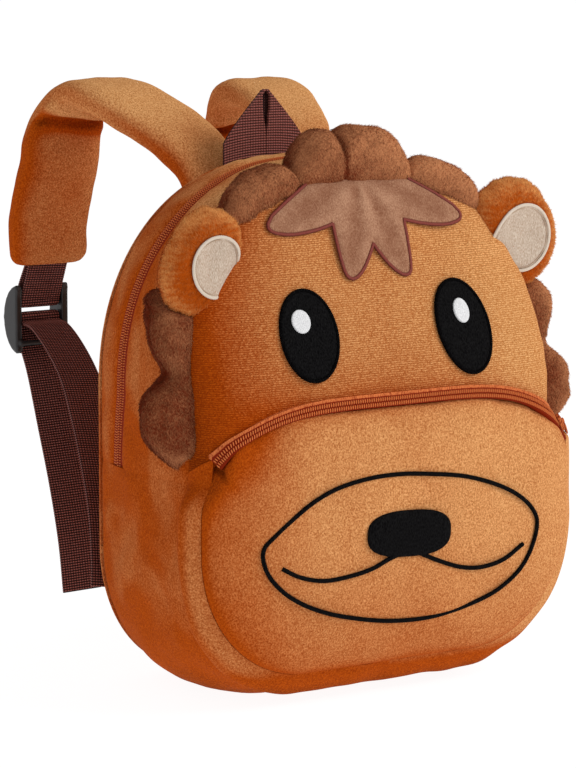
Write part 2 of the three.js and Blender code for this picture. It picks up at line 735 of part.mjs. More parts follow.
function muzzleLine() {
  const points = steps(36).slice(0, -1).map((t) => {
    const c = Math.cos(t * 2 * Math.PI);
    const s = Math.sin(t * 2 * Math.PI);
    const up = s > 0 ? MUZZLE.rise : MUZZLE.drop;
    const curl = 2 / (s > 0 ? MUZZLE.topPower : MUZZLE.lowPower);
    return {
      x: MUZZLE.halfWidth * Math.sign(c) * Math.abs(c) ** curl,
      z: MUZZLE.z + up * Math.sign(s) * Math.abs(s) ** curl,
    };
  });
  const loops = lineSections(pocketY, points, true).slice(0, -1);
  const count = loops.length;
  const triangles = [];
  for (let s = 0; s < count; s += 1) {
    const next = (s + 1) % count;
    for (let k = 0; k < 4; k += 1) {
      const m = (k + 1) % 4;
      triangles.push([s * 4 + k, s * 4 + m, next * 4 + m], [s * 4 + k, next * 4 + m, next * 4 + k]);
    }
  }
  return closedGeometry(loops.flat(), triangles);
}

function mouthLine() {
  const left = MOUTH.slice(0, -1).map((p) => ({ x: -p.x, z: p.z }));
  const right = MOUTH.slice().reverse();
  return loft(lineSections(pocketY, [...left, ...right], false));
}

// Straps and webbing
// Loop of a band's section: width lies across the run and thickness square to both
function bandSection(p, way, width, thick, corners) {
  const across = new THREE.Vector3(1, 0, 0).addScaledVector(way, -way.x).normalize();
  const up = new THREE.Vector3().crossVectors(across, way);
  return corners.map(([u, w]) => {
    return p.clone().addScaledVector(across, (u * width) / 2).addScaledVector(up, (w * thick) / 2);
  });
}

const FLAT_CORNERS = [[-1, -1], [1, -1], [1, 1], [-1, 1]];
const PAD_CORNERS = steps(12).slice(0, -1).map((t) => {
  const c = Math.cos(t * 2 * Math.PI);
  const s = Math.sin(t * 2 * Math.PI);
  return [Math.sign(c) * Math.abs(c) ** 0.55, Math.sign(s) * Math.abs(s) ** 0.8];
});

function curveThrough(points) {
  return new THREE.CatmullRomCurve3(points, false, "centripetal");
}

// Distance from the middle, drawn in towards the root where a strap splays less
function strapX(strap, x) {
  return strap.side * (PAD_ROOT_X + (x - PAD_ROOT_X) * strap.splay);
}

function strapPad(strap) {
  const rows = PAD_SECTIONS.map((row, i) => ({ ...row, i }));
  const curve = curveThrough(rows.map(({ x, y, z }) => new THREE.Vector3(strapX(strap, x), y, z)));
  const last = rows.length - 1;
  return loft(steps(last * 2).map((t) => {
    const width = along(rows, "i", "width", t * last);
    const thick = along(rows, "i", "thick", t * last);
    return bandSection(curve.getPoint(t), curve.getTangent(t), width, thick, PAD_CORNERS);
  }));
}

function webbing(points) {
  const curve = curveThrough(points);
  return loft(steps((points.length - 1) * 2).map((t) => {
    return bandSection(curve.getPoint(t), curve.getTangent(t), WEB_WIDTH, WEB_THICK, FLAT_CORNERS);
  }));
}

const WEB_TURN = BAR_RADIUS + 0.5 + WEB_THICK / 2;

// Half turn of webbing under or over a bar, in the strap's Y-Z plane
function turnRound(strap, bar, sign) {
  return steps(4).map((t) => {
    const turn = t * Math.PI;
    const y = BUCKLE.y + bar.y - WEB_TURN * Math.cos(turn);
    const z = BUCKLE.z + bar.z + sign * WEB_TURN * Math.sin(turn);
    return new THREE.Vector3(strapX(strap, BUCKLE.x), y, z);
  });
}

function strapTab(strap) {
  const end = PAD_SECTIONS.at(-1);
  const top = (shift) => new THREE.Vector3(strapX(strap, end.x), end.y + shift, end.z - 3 * GAP);
  return webbing([top(-WEB_THICK), ...turnRound(strap, TOP_BAR, -1), top(WEB_THICK)]);
}

// Point between the buckle and an end of the web
function webPoint(strap, end, part, y) {
  const from = new THREE.Vector3(strapX(strap, BUCKLE.x), y, BUCKLE.z);
  const to = new THREE.Vector3(end === TAIL_END ? strapX(strap, end.x) : strap.side * end.x, y, end.z);
  return from.lerp(to, part);
}

function strapWeb(strap) {
  const load = LOAD_WEB.map(({ part, y }) => webPoint(strap, WEB_FOOT, part, y));
  const hang = TAIL_WEB.map(({ part, y }) => webPoint(strap, TAIL_END, part, y));
  return webbing([
    webPoint(strap, WEB_FOOT, 1, WEB_FOOT.y),
    ...load,
    ...turnRound(strap, MIDDLE_BAR, 1),
    ...hang,
    webPoint(strap, TAIL_END, 1, TAIL_END.y),
  ]);
}

// Joins overlapping closed shapes into one solid
const wasm = await Module();
wasm.setup();

function fuse(geometries) {
  const solids = geometries.map((source) => {
    const bare = source.clone();
    bare.deleteAttribute("normal");
    bare.deleteAttribute("uv");
    const merged = mergeVertices(bare, 1e-4);
    return new wasm.Manifold(new wasm.Mesh({
      numProp: 3,
      vertProperties: Float32Array.from(merged.attributes.position.array),
      triVerts: Uint32Array.from(merged.index.array),
    }));
  });
  const mesh = solids.reduce((a, b) => a.add(b)).getMesh();
  const geometry = new THREE.BufferGeometry();
  geometry.setAttribute("position", new THREE.BufferAttribute(Float32Array.from(mesh.vertProperties), 3));
  geometry.setIndex(Array.from(mesh.triVerts));
  return geometry;
}

// Slider with two bowed cheeks and three bars
function buckle(strap) {
  const cheek = new THREE.Shape();
  cheek.moveTo(-3.5, 15);
  cheek.quadraticCurveTo(7, 12, 8, -1);
  cheek.quadraticCurveTo(7, -15, -3.5, -18);
  cheek.quadraticCurveTo(-6, -17, -4.5, -13);
  cheek.lineTo(-4.5, 10);
  cheek.quadraticCurveTo(-5.5, 14, -3.5, 15);
  const inner = WEB_WIDTH / 2 + 0.6;
  const plate = new THREE.ExtrudeGeometry(cheek, { depth: CHEEK_THICK, bevelEnabled: false, curveSegments: 5 });
  // The drawing's x and y become Y and Z, and its depth becomes X
  plate.applyMatrix4(new THREE.Matrix4().makeBasis(
    new THREE.Vector3(0, 1, 0),
    new THREE.Vector3(0, 0, 1),
    new THREE.Vector3(1, 0, 0),
  ));
  const bars = [TOP_BAR, MIDDLE_BAR, LOW_BAR].map(({ y, z }) => {
    const bar = new THREE.CylinderGeometry(BAR_RADIUS, BAR_RADIUS, 2 * inner + CHEEK_THICK, 10);
    return bar.rotateZ(Math.PI / 2).translate(0, y, z);
  });
  const right = plate.clone().translate(inner, 0, 0);
  const left = plate.clone().translate(-inner - CHEEK_THICK, 0, 0);
  return fuse([right, left, ...bars]).translate(strapX(strap, BUCKLE.x), BUCKLE.y, BUCKLE.z);
}

// Loop of two legs whose tops fold to a point, standing on the rear seam
function haulLoop() {
  const base = (x) => topZ(REAR, x) + 0.8;
  const shape = new THREE.Shape();
  for (const t of steps(6)) {
    const x = (2 * t - 1) * LOOP_HALF;
    if (t === 0) shape.moveTo(x, base(x));
    else shape.lineTo(x, base(x));
  }
  const foot = base(0);
  shape.lineTo(LOOP_HALF, foot + LOOP_LEG);
  shape.quadraticCurveTo(LOOP_HALF - 2, foot + LOOP_LEG + 4, 3, foot + LOOP_APEX);
  shape.lineTo(-3, foot + LOOP_APEX);
  shape.quadraticCurveTo(-LOOP_HALF + 2, foot + LOOP_LEG + 4, -LOOP_HALF, foot + LOOP_LEG);
  const slit = new THREE.Path();
  slit.moveTo(0, foot + LOOP_SLIT.from);
  slit.quadraticCurveTo(LOOP_SLIT.width, foot + LOOP_SLIT.to - 3, 0.4, foot + LOOP_SLIT.to);
  slit.lineTo(-0.4, foot + LOOP_SLIT.to);
  slit.quadraticCurveTo(-LOOP_SLIT.width, foot + LOOP_SLIT.to - 3, 0, foot + LOOP_SLIT.from);
  shape.holes.push(slit);
  const loop = new THREE.ExtrudeGeometry(shape, { depth: 2 * WEB_THICK, bevelEnabled: false, curveSegments: 5 });
  return loop.rotateX(Math.PI / 2).translate(0, REAR_Y + 2 * WEB_THICK, 0);
}

// Plain zip sliders with a hanging pull
function slider(length, width) {
  const shape = new THREE.Shape();
  shape.moveTo(-width / 2, 0);
  shape.lineTo(width / 2, 0);
  shape.lineTo(width / 3, -length * 0.45);
  shape.lineTo(width / 3.4, -length);
  shape.lineTo(-width / 3.4, -length);
  shape.lineTo(-width / 3, -length * 0.45);
  return new THREE.ExtrudeGeometry(shape, { depth: 2.4, bevelEnabled: false });
}

function mainZipSlider() {
  const p = stripPoint(frontRim, rearRim, 3.5, RIGHT, zipV(3.5), GUSSET_BULGE);
  const turned = slider(18, 9).rotateX(Math.PI / 2).rotateZ(Math.PI / 2);
  return turned.translate(p.x + GAP, p.y, p.z);
}

function pocketZipSlider() {
  const x = POCKET_ZIP_END - 5;
  const turned = slider(8, 6).rotateX(Math.PI / 2).rotateZ(0.9);
  return turned.translate(x + 3, pocketY(x, zipZ(x) - POCKET_ZIP_HALF) - 2.5, zipZ(x) + 3);
}

// Finishes
function finish(name, color, roughness) {
  return new THREE.MeshStandardMaterial({ name, color, roughness, metalness: 0 });
}

const PLUSH = finish("plush", 0xb9713a, 0.95);
const MANE = finish("mane_plush", 0x8a5a3f, 0.95);
const FORELOCK = finish("forelock_plush", 0x9c6c4e, 0.95);
const CREAM = finish("cream_plush", 0xd3b596, 0.95);
const BLACK_THREAD = finish("black_thread", 0x151314, 0.6);
const WHITE_THREAD = finish("white_thread", 0xe8e8ec, 0.6);
const ZIP = finish("zip_coil", 0xae5530, 0.55);
const WEB = finish("webbing", 0x40201d, 0.8);
const PLASTIC = finish("black_plastic", 0x1b1718, 0.4);

const group = new THREE.Group();
group.name = "plush_lion_backpack";

function add(name, geometry, material) {
  const bare = geometry.clone();
  bare.deleteAttribute("normal");
  bare.deleteAttribute("uv");
  const merged = mergeVertices(bare, 1e-4);
  merged.computeVertexNormals();
  const mesh = new THREE.Mesh(merged, material);
  mesh.name = name;
  group.add(mesh);
}

function addPair(name, make, material) {
  add(`${name}_left`, make(LEFT), material);
  add(`${name}_right`, make(RIGHT), material);
}

function addStraps(name, make, material) {
  add(`${name}_left`, make(LEFT_STRAP), material);
  add(`${name}_right`, make(RIGHT_STRAP), material);
}

add("back_panel", backPanel(), PLUSH);
add("gusset_lower", gussetLower(), PLUSH);
add("gusset_front", gussetFront(), PLUSH);
add("gusset_rear", gussetRear(), PLUSH);
add("main_zip", mainZip(), ZIP);
add("main_zip_slider", mainZipSlider(), ZIP);
add("front_panel", frontPanel(), PLUSH);
add("pocket_front", pocketFront(), PLUSH);
add("pocket_band", pocketBand(), PLUSH);
add("pocket_zip", pocketZip(), ZIP);
add("pocket_zip_slider", pocketZipSlider(), ZIP);
const [leftEar, rightEar] = EARS;
add("ear_left", ear(leftEar), PLUSH);
add("ear_right", ear(rightEar), PLUSH);
add("ear_inner_left", earInner(leftEar), CREAM);
add("ear_inner_right", earInner(rightEar), CREAM);
add("mane_tuft", maneTuft(), MANE);
addPair("mane_roll", (side) => maneRun(ROLL_SECTIONS, side), MANE);
addPair("mane_side", (side) => maneRun(SIDE_SECTIONS, side), MANE);
add("forelock", forelock(), FORELOCK);
const [leftEye, rightEye] = EYES;
const [leftGlint, rightGlint] = GLINTS;
add("eye_left", ovalPatch(faceY, leftEye), BLACK_THREAD);
add("eye_right", ovalPatch(faceY, rightEye), BLACK_THREAD);
add("eye_glint_left", ovalPatch(faceY, leftGlint, STITCH_THICK + GAP), WHITE_THREAD);
add("eye_glint_right", ovalPatch(faceY, rightGlint, STITCH_THICK + GAP), WHITE_THREAD);
add("nose", ovalPatch(pocketY, NOSE), BLACK_THREAD);
add("muzzle_line", muzzleLine(), BLACK_THREAD);
add("mouth_line", mouthLine(), BLACK_THREAD);
add("haul_loop", haulLoop(), WEB);
addStraps("strap_pad", strapPad, PLUSH);
addStraps("strap_tab", strapTab, WEB);
addStraps("buckle", buckle, PLASTIC);
addStraps("strap_web", strapWeb, WEB);

export default group;
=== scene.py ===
"""Looks of a toddler's plush lion backpack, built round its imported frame."""

import math

import bpy
import numpy as np
from bpy.props import FloatProperty, FloatVectorProperty, PointerProperty
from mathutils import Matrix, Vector
from mathutils.geometry import delaunay_2d_cdt


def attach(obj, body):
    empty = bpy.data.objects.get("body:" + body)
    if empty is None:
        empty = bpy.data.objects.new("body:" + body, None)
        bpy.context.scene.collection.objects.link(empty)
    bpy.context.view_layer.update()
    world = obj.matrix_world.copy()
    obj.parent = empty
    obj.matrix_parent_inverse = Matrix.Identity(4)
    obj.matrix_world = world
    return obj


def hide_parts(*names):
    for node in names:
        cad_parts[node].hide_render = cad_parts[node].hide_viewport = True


bl_info = {
    "name": "Plush lion backpack",
    "version": (1, 0, 0),
    "blender": (4, 5, 0),
    "location": "View3D > Sidebar > Lion bag",
    "description": "Dresses the packed frame of a plush lion backpack",
    "category": "Add Mesh",
}

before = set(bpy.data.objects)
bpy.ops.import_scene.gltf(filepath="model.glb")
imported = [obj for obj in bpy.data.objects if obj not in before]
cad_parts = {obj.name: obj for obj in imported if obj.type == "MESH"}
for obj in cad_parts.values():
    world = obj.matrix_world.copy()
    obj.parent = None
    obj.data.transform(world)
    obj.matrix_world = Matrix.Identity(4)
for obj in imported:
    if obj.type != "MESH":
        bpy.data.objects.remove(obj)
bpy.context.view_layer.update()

# Shapes are worked out in millimetres and become metres in their meshes
MM = 0.001
GAP = 0.3
WALL = 3.0
BACK_WALL = 5.0
WEB_WIDTH = 21.0
WEB_THICK = 1.4
REAR_Y = 42.0
POCKET_SEAM_Y = -55.0
BAG_MIDDLE = np.array([0.0, 0.0, 120.0])
LEFT = -1
RIGHT = 1

# Rows and columns of the grids, and the face's rows behind the pocket as shares of the way up to the zip
FACE_GRID = (84, 111)
FACE_HIDDEN = (0, 0.05, 0.25, 0.5, 0.75, 0.86, 0.93, 0.97)
POCKET_GRID = (84, 121)
BACK_GRID = (75, 75)
GUSSET_ROWS = 85
ZIP_GRID = (200, 19)
POCKET_ZIP_GRID = (280, 17)

# Stations along an outline at the ends of the main zip and at the top centre
ZIP_STATION = 3.0
TOP_STATION = 5.0

# Distance that stands for the whole way from an outline's middle to the outline
INSET_REACH = 90.0

# Zips: places, half widths, tuck under the cloth, sliders with their pulls, and the arch of the pocket's zip
ZIP_END_Z = 103.0
ZIP_HALF = 4.2
ZIP_TUCK = 0.8
ZIP_SLIDER_STATION = 3.5
ZIP_PULL = 13.0
POCKET_ZIP_HALF = 3.0
POCKET_ZIP_ENDS = (-96.0, 99.5)
POCKET_ZIP_FACE = (-94.5, 96.0)
POCKET_SLIDER = (-8, 7)
POCKET_PULL = 8.0
ARCH_TOP = 136.0
ARCH_DROP = 27.0
ARCH_POWER = 4.3

# Zip teeth: share of the pitch, height, shade, rings as places and sizes, and sides
TOOTH_WIDTH = 0.3
TOOTH_HEIGHT = 0.5
TOOTH_SHADE = -0.3
TOOTH_RINGS = ((-0.5, 0.7), (0.0, 1.0), (0.5, 0.7))
TOOTH_SIDES = 6

# Plates of the zip sliders: share of the height and size of each ring
SLIDER_RINGS = ((0, 0.8), (0.15, 1), (0.8, 1), (1, 0.75))

# Fold in the pocket's upper left corner, and the rows of the hem at its right one
FOLD_START = (-100.0, 113.0)
FOLD_END = (-87.6, 103.0)
HEM_ROWS = 6

# Pile: radius, root, lift and scatter of a strand, shares of its length, its corners, and most on a piece
STRAND_RADIUS = 0.28
STRAND_ROOT = 0.4
STRAND_LIFT = 0.3
STRAND_SCATTER = 0.16
STRAND_SHARES = (0.55, 1.15)
STRAND_TURNS = (0.0, 2.0944, 4.1888)
STRANDS_MOST = 30000

# Pitch of the knitted rows and of the webbing's lengthwise threads
KNIT_ROW = 0.95
WEB_THREAD = 1.4

# Height and depth of the front seam
SEAM_LEAN = [(0, -42), (60, -42), (120, -38), (150, -35), (200, -28.5), (233, -24)]

# Height and reach of the face out of its seam
FACE_PROFILE = [(100, 28), (120, 28.5), (140, 27), (165, 21.5), (190, 15), (213, 10.5), (233, 8)]

# Drop below the zip and reach of the pocket out of its seam
POCKET_PROFILE = [(0, 8.5), (8, 11.5), (20, 14), (40, 15.5), (70, 16), (100, 14.5), (125, 12)]

# Reach of the face behind the pocket and of the back, and how squarely the panels puff
BEHIND_POCKET = 5.0
BACK_REACH = 9
FACE_PUFF = 9
POCKET_PUFF = 2.4
BACK_PUFF = 6

# Strips: bulge at the base and at the sides, width, and shares of the width at their seams
GUSSET_BULGE = (7.5, 4.0)
GUSSET_WIDTH = 84
GUSSET_EDGES = (0.002, 0.998)
POCKET_BULGE = (3.5, 7.5)
BAND_WIDTH = 14

# Ears: name, side, arc from the top centre, depth, half width, rise, cream oval, lift
EARS = [
    ("left", LEFT, 95.8, -33.0, 24.3, 20.0, (0.0, -0.2, 13.3, 13.0), -0.5),
    ("right", RIGHT, 94.2, -29.5, 26.0, 26.5, (1.5, 4.0, 14.7, 16.3), 0.6),
]
EAR_MIDDLE = 2.0
EAR_DROP = 14.0
EAR_POWER = 2.3
EAR_THICK = 10.5
EAR_BACK = 0.85
EAR_HOLLOW = 4.2
CREAM_LIFT = 0.9
CREAM_DEPTH = 0.6

# Stitched rims of the ears' insides: reach, width, height and shade
CREAM_RIMS = ((1.0, 1.5, 0.6, -0.3), (0.91, 0.5, 0.2, 0.9))

# Embroidery: centre, half width, half height, tilt and corner power of the ovals, then the lines
EYES = {"left": (-44, 165.6, 14.8, 19.9, -5.2, 2), "right": (40.4, 164.1, 14.8, 21.1, 6.2, 2)}
GLINTS = {"left": (-47.4, 171.6, 4.7, 5.0, -5.2, 2), "right": (40.2, 170.7, 4.2, 5.4, 6.2, 2)}
NOSE = (-1.3, 76.6, 22.9, 10.4, -2.5, 2.7)
MOUTH = [
    (-67.6, 67.2), (-59.3, 62.9), (-47.6, 60), (-35.7, 60.3), (-21.6, 62.7), (-11.3, 66.5), (-1, 68.5),
    (7.9, 65.4), (14.5, 62.6), (28, 58), (39.4, 56.5), (53.2, 58.3), (65.5, 64.1),
]
MUZZLE = [
    (-76.7, 72.7), (-76, 76.9), (-71.4, 81.4), (-63, 87.9), (-51.4, 95.3), (-39.6, 100), (-23.3, 102.9),
    (-6.7, 103.4), (10.3, 101.9), (29.9, 99), (48.1, 93.6), (62.3, 87), (71.1, 80.1), (74.7, 74),
    (73.1, 65.3), (65.8, 53.7), (52.3, 44.9), (34.6, 39.6), (13.5, 36.4), (-8.1, 37.2), (-29.9, 41.2),
    (-44.5, 45.2), (-57.6, 50.8), (-67.5, 57.5), (-74.2, 65.2),
]

# Rings of an oval from below over its rim: reach and share of the thickness
OVAL_RIM = (
    (0.02, -0.35), (0.97, -0.35), (1.0, 0.0), (1.0, 0.45), (0.985, 0.72), (0.955, 0.88), (0.91, 0.97),
)

# Stitches: lift and thickness of the ovals, width and height of the lines, and step along a line
STITCH_LIFT = 0.5
STITCH_THICK = 1.2
LINE_WIDTH = 1.9
LINE_HEIGHT = 1.1
ROPE_STEP = 0.3

# Lower edge of the forelock's right half from the centre to its tip, then its upper edge back
FORELOCK = [
    (0, 202.4), (1.8, 199.6), (4, 196.5), (6.6, 193.2), (9.5, 190.4), (12.4, 188.5), (14.8, 188),
    (16.6, 188.6), (17.8, 190), (18.5, 193), (19, 197), (19.4, 204), (19.6, 212), (23.5, 211), (28, 210),
    (34, 209.1), (40.7, 208.5), (45.6, 208.7), (49.7, 209.4), (52, 210.4), (53, 211.9), (52.6, 213.6),
    (49.7, 216.8), (45, 219.8), (40.7, 222.4), (34, 226), (28, 229), (19.6, 230.5), (0, 231),
]

# Forelock: span, levels and step of its grid, the height that its folds fan out from, and its edging's shades
FORELOCK_SPAN = (-54, 54)
FORELOCK_LEVELS = (186, 229)
FORELOCK_GRID = 0.9
FORELOCK_CROWN_Z = 236
EDGING_SHADES = [0.4, 0.25, 0.0, -0.2, -0.2, -0.2, 0.0, 0.25, 0.4, 0.4, 0.4]

# Mane sections along the front seam: arc from the top centre, rise, back, wrap and start behind the seam
TUFT = [
    (-31.6, 1, 4, 1.5, 0), (-30.5, 5, 8, 2, 0), (-26, 13, 15, 3.5, 0), (-19, 20, 19, 4, 0),
    (-12, 21, 20, 4, 0), (-8.8, 18.5, 18.5, 4, 0), (-7, 14.5, 17, 3.5, 0), (-5.2, 18.5, 18.5, 4, 0),
    (-1, 21.5, 20, 4, 0), (8, 22, 20, 4, 0), (18, 20, 19, 4, 0), (26, 13, 15, 3.5, 0),
    (30.5, 5, 8, 2, 0), (31.6, 1, 4, 1.5, 0),
]
ROLL = [
    (30.8, 1, 3, 1.5, 0), (32, 5, 6, 2.5, 0), (37, 10, 10, 4, 0), (46, 12, 12, 4.5, 0), (55, 12, 12, 4.5, 0),
    (64, 9.5, 10, 4, 0), (70, 5.5, 7, 2.5, 0), (73, 1, 3, 1.5, 0),
]
SIDE = [
    (110, 1, 19, 0.6, 15), (112, 5, 22, 0.6, 13), (116, 9.5, 22, 0.6, 8), (119, 11.5, 20, 0.6, 2),
    (122, 13, 18.5, 0.6, 0), (126, 14.5, 16, 0.6, 0), (131, 14.5, 14, 0.6, 0), (137, 11.5, 13, 0.6, 0),
    (141, 8, 11, 0.6, 0), (144.5, 6.5, 10, 0.6, 0), (148, 9.5, 11, 0.6, 0), (153, 16, 14, 0.6, 0),
    (159, 19.5, 15, 0.6, 0), (168, 20, 15, 0.6, 0), (176, 15.5, 14, 0.6, 1), (181, 10, 10, 0.6, 3),
    (184.5, 4, 8, 0.6, 5), (186, 1, 7, 0.6, 6),
]

# Stitched groove along a roll: its turn, width and depth, on rolls of more than a least rise
GROOVE_TURN = 1.75
GROOVE_WIDTH = 0.07
GROOVE_DEPTH = 0.7
GROOVE_LEAST = 3
TUFT_CLEFT_X = -7

# Way towards the key light: pile facing away from it gets painted shade, and mane facing it painted light
KEY_LIGHT_WAY = np.array([0.46, -0.72, 0.52])

# Shoulder straps: place, width and thickness of each pad's sections, and the way of the webbing
PAD_ROOT_X = 21.0
PAD_END = (60, 138.5, 182.5)
PAD = [
    (20, 55.4, 205, 33, 8), (20, 55.4, 222, 33, 11), (21.5, 63.5, 235, 36, 13), (31.8, 79.8, 250, 39, 14),
    (45, 101.5, 262.5, 39.5, 14), (49, 115.5, 263.2, 39.8, 14), (55, 128, 249, 40, 13),
    (58, 130, 232.5, 41.5, 13), (60, 136, 212, 43, 13), (60, 138, 190, 42, 11), (60, 138.5, 182, 41, 8),
]
BUCKLE = (61, 147, 157)
BAR_RADIUS = 1.4
BUCKLE_VOXEL = 0.6
BUCKLE_ROUNDS = 3
TAB_BAR = 8
WEB_BAR = -3
WEB_TURN = BAR_RADIUS + 0.5 + WEB_THICK / 2
WEB_ARCH = 1.45
WEB_FOOT = (80, 52, 41)
TAIL_END = (58, 113, 27)
LOAD_WEB = [(0.88, 55.5), (0.7, 63.5), (0.45, 81), (0.35, 89.5), (0.22, 102), (0.1, 121), (0.04, 135)]
TAIL_WEB = [(0.1, 147.5), (0.2, 141), (0.4, 132), (0.62, 122.5), (0.82, 116)]
STRAPS = {"left": (LEFT, 1.0), "right": (RIGHT, 0.7)}

# Swing outwards and drop of each pad's upper run, the section of its sharp bend and its rounded end
PAD_LIE = {"left": (0.0, 0.0), "right": (12.0, 2.5)}
PAD_BEND = 5.75
PAD_CORNER = 5

# Haul loop: foot, height of its straight part, rise of its point and half width at foot and point
LOOP_FOOT = -1.0
LOOP_STRAIGHT = 9
LOOP_POINT = 22
LOOP_HALF = (22.5, 1.0)

# Camera and lights in metres
AIM = (-0.017, 0.0, 0.1363)
CAMERA_PLACE = (-0.9258, -1.2980, 0.3590)
KEY_PLACE = (0.92, -1.0, 1.0)
KEY_SIZE = 0.9
FILL_PLACE = (-1.5, -0.5, 0.7)
FILL_SIZE = 1.2
FLOOR_HALF = 25
FLOOR_DROP = 0.0005


def linear(code):
    """Scene colour of a #rrggbb code."""
    channels = [int(code[i : i + 2], 16) / 255 for i in (1, 3, 5)]
    return (*[c / 12.92 if c <= 0.04045 else ((c + 0.055) / 1.055) ** 2.4 for c in channels], 1.0)


def tint(label, note, code):
    return FloatVectorProperty(
        name=label, description=note, subtype="COLOR", size=4, min=0.0, max=1.0, default=linear(code)
    )


def span(label, note, millimetres):
    return FloatProperty(name=label, description=note, default=millimetres * MM, min=0.0, unit="LENGTH")


def number(label, note, value):
    return FloatProperty(name=label, description=note, default=value, min=0.0)


class LIONBAG_PG_colours(bpy.types.PropertyGroup):
    """Colours of the cloth, the threads and the plastic."""

    # The two plush colours are a lit and a shaded copy of one colour: the painted shade of the shade marks
    # and the brushed patches blend between them
    plush_lit_and_raised: tint("Plush, tips", "Short plush where its pile stands up", "#e2a86e")
    plush_shaded_and_brushed: tint("Plush, depth", "Short plush that is brushed down or lies in a seam", "#b04c0a")
    # The mane's colours are its tips and roots as well as a lit and a shaded copy: painted light and painted
    # shade blend between them with the strands' own tones
    mane_tips_and_lit: tint("Mane, tips", "Tips of the mane's pile", "#ca885c")
    mane_roots_and_shaded: tint("Mane, depth", "Roots of the mane's pile", "#64220c")
    # The forelock's colours are a lit and a shaded copy as well as its pile's tones: painted light on the
    # ridges and painted shade in the folds blend between them
    lock_tips_and_lit: tint("Forelock, tips", "Appliqué plush over the forehead", "#d0a080")
    lock_deep_and_shaded: tint("Forelock, depth", "Appliqué plush in its folds", "#84523a")
    edging: tint("Edging", "Satin stitch round the forelock", "#84382d")
    cream: tint("Cream", "Inside of the ears", "#b59c87")
    cream_rim: tint("Cream edging", "Satin stitch round the inside of the ears", "#dccdbc")
    black: tint("Black thread", "Eyes, nose and mouth", "#030203")
    white: tint("White thread", "Glints in the eyes", "#f2f2f4")
    zip_light: tint("Zip, teeth", "Raised parts of the zips", "#dc7a44")
    zip_deep: tint("Zip, tape", "Tape and gaps of the zips", "#86250a")
    web_light: tint("Webbing, ribs", "Raised threads of the webbing", "#a9655c")
    web_deep: tint("Webbing, gaps", "Gaps between the webbing's threads", "#260d0b")
    plastic: tint("Plastic", "Strap sliders", "#151112")


class LIONBAG_PG_sizes(bpy.types.PropertyGroup):
    """Sizes of the fine features."""

    pile: span("Pile length", "Length of the mane's and the ears' pile", 1.9)
    density: number("Pile density", "Strands on each square millimetre", 2.6)
    rib: span("Webbing rib", "Pitch of the ribs across the webbing", 1.2)
    tooth: span("Zip tooth", "Pitch of the zip's teeth", 1.2)
    stitch: span("Stitch", "Pitch of the satin stitches", 0.9)
    wrinkle: span("Wrinkle", "Depth of the soft dents in the panels", 0.6)


class LIONBAG_PG_stage(bpy.types.PropertyGroup):
    """Camera and light."""

    lens: FloatProperty(name="Lens", description="Focal length", default=165.0, min=1.0, unit="CAMERA")
    key: FloatProperty(name="Key", description="Power of the main light", default=12.5, unit="POWER")
    fill: FloatProperty(name="Fill", description="Power of the light at the left", default=1.0, unit="POWER")
    sky: number("Sky", "Strength of the surrounding light", 0.45)


# Number helpers
def smoothstep(start, end, at):
    t = np.clip((at - start) / (end - start), 0.0, 1.0)
    return t * t * (3 - 2 * t)


def lerp(a, b, t):
    return a + (b - a) * t


def unit(vectors):
    return vectors / np.maximum(np.linalg.norm(vectors, axis=-1, keepdims=True), 1e-12)


def xyz(x, y, z):
    return np.stack([x, y, z], -1)


def bell(at, width):
    """1 at zero, falling to both sides."""
    return np.exp(-((at / width) ** 2))


def fade(distance, width):
    """1 at no distance, falling away from it."""
    return np.exp(-distance / width)


def soft_power(values, power):
    """Power of the size of values, with their signs."""
    return np.sign(values) * np.abs(values) ** power


def arc_lengths(points):
    """Distance of each point of a line from its first one, along the line."""
    steps = np.linalg.norm(np.diff(points, axis=0), axis=-1)
    return np.concatenate([[0.0], np.cumsum(steps)])


def resample(points, run, at):
    """Places on a line of points at some distances along it."""
    return np.stack([np.interp(at, run, points[:, k]) for k in range(3)], -1)


def curve(table, at):
    """Value of a two-column table at a key, through its rows with a smooth curve."""
    keys, values = np.array(table, float).T
    slopes = np.empty_like(values)
    slopes[1:-1] = (values[2:] - values[:-2]) / (keys[2:] - keys[:-2])
    slopes[0] = (values[1] - values[0]) / (keys[1] - keys[0])
    slopes[-1] = (values[-1] - values[-2]) / (keys[-1] - keys[-2])
    i = np.clip(np.searchsorted(keys, at) - 1, 0, len(keys) - 2)
    width = keys[i + 1] - keys[i]
    t = np.clip((at - keys[i]) / width, 0.0, 1.0)
    rise = values[i + 1] - values[i]
    bend = (1 - t) * (slopes[i] * width - rise) - t * (slopes[i + 1] * width - rise)
    return values[i] + rise * t + t * (1 - t) * bend


def waves(points, wavelength, seed, count=14):
    """Smooth seeded bumps of about unit height."""
    rng = np.random.default_rng(seed)
    way = unit(rng.normal(size=(count, 3)))
    way *= (2 * np.pi / wavelength * rng.uniform(0.7, 1.4, count))[:, None]
    return np.cos(points @ way.T + rng.uniform(0, 2 * np.pi, count)).sum(-1) / math.sqrt(count)


def segment(x, z, start, end):
    """Distance from a flat segment and the part of its length, for many points."""
    a = np.array(start, float)
    run = np.array(end, float) - a
    t = np.clip(((x - a[0]) * run[0] + (z - a[1]) * run[1]) / (run @ run), 0.0, 1.0)
    return np.hypot(x - a[0] - run[0] * t, z - a[1] - run[1] * t), t


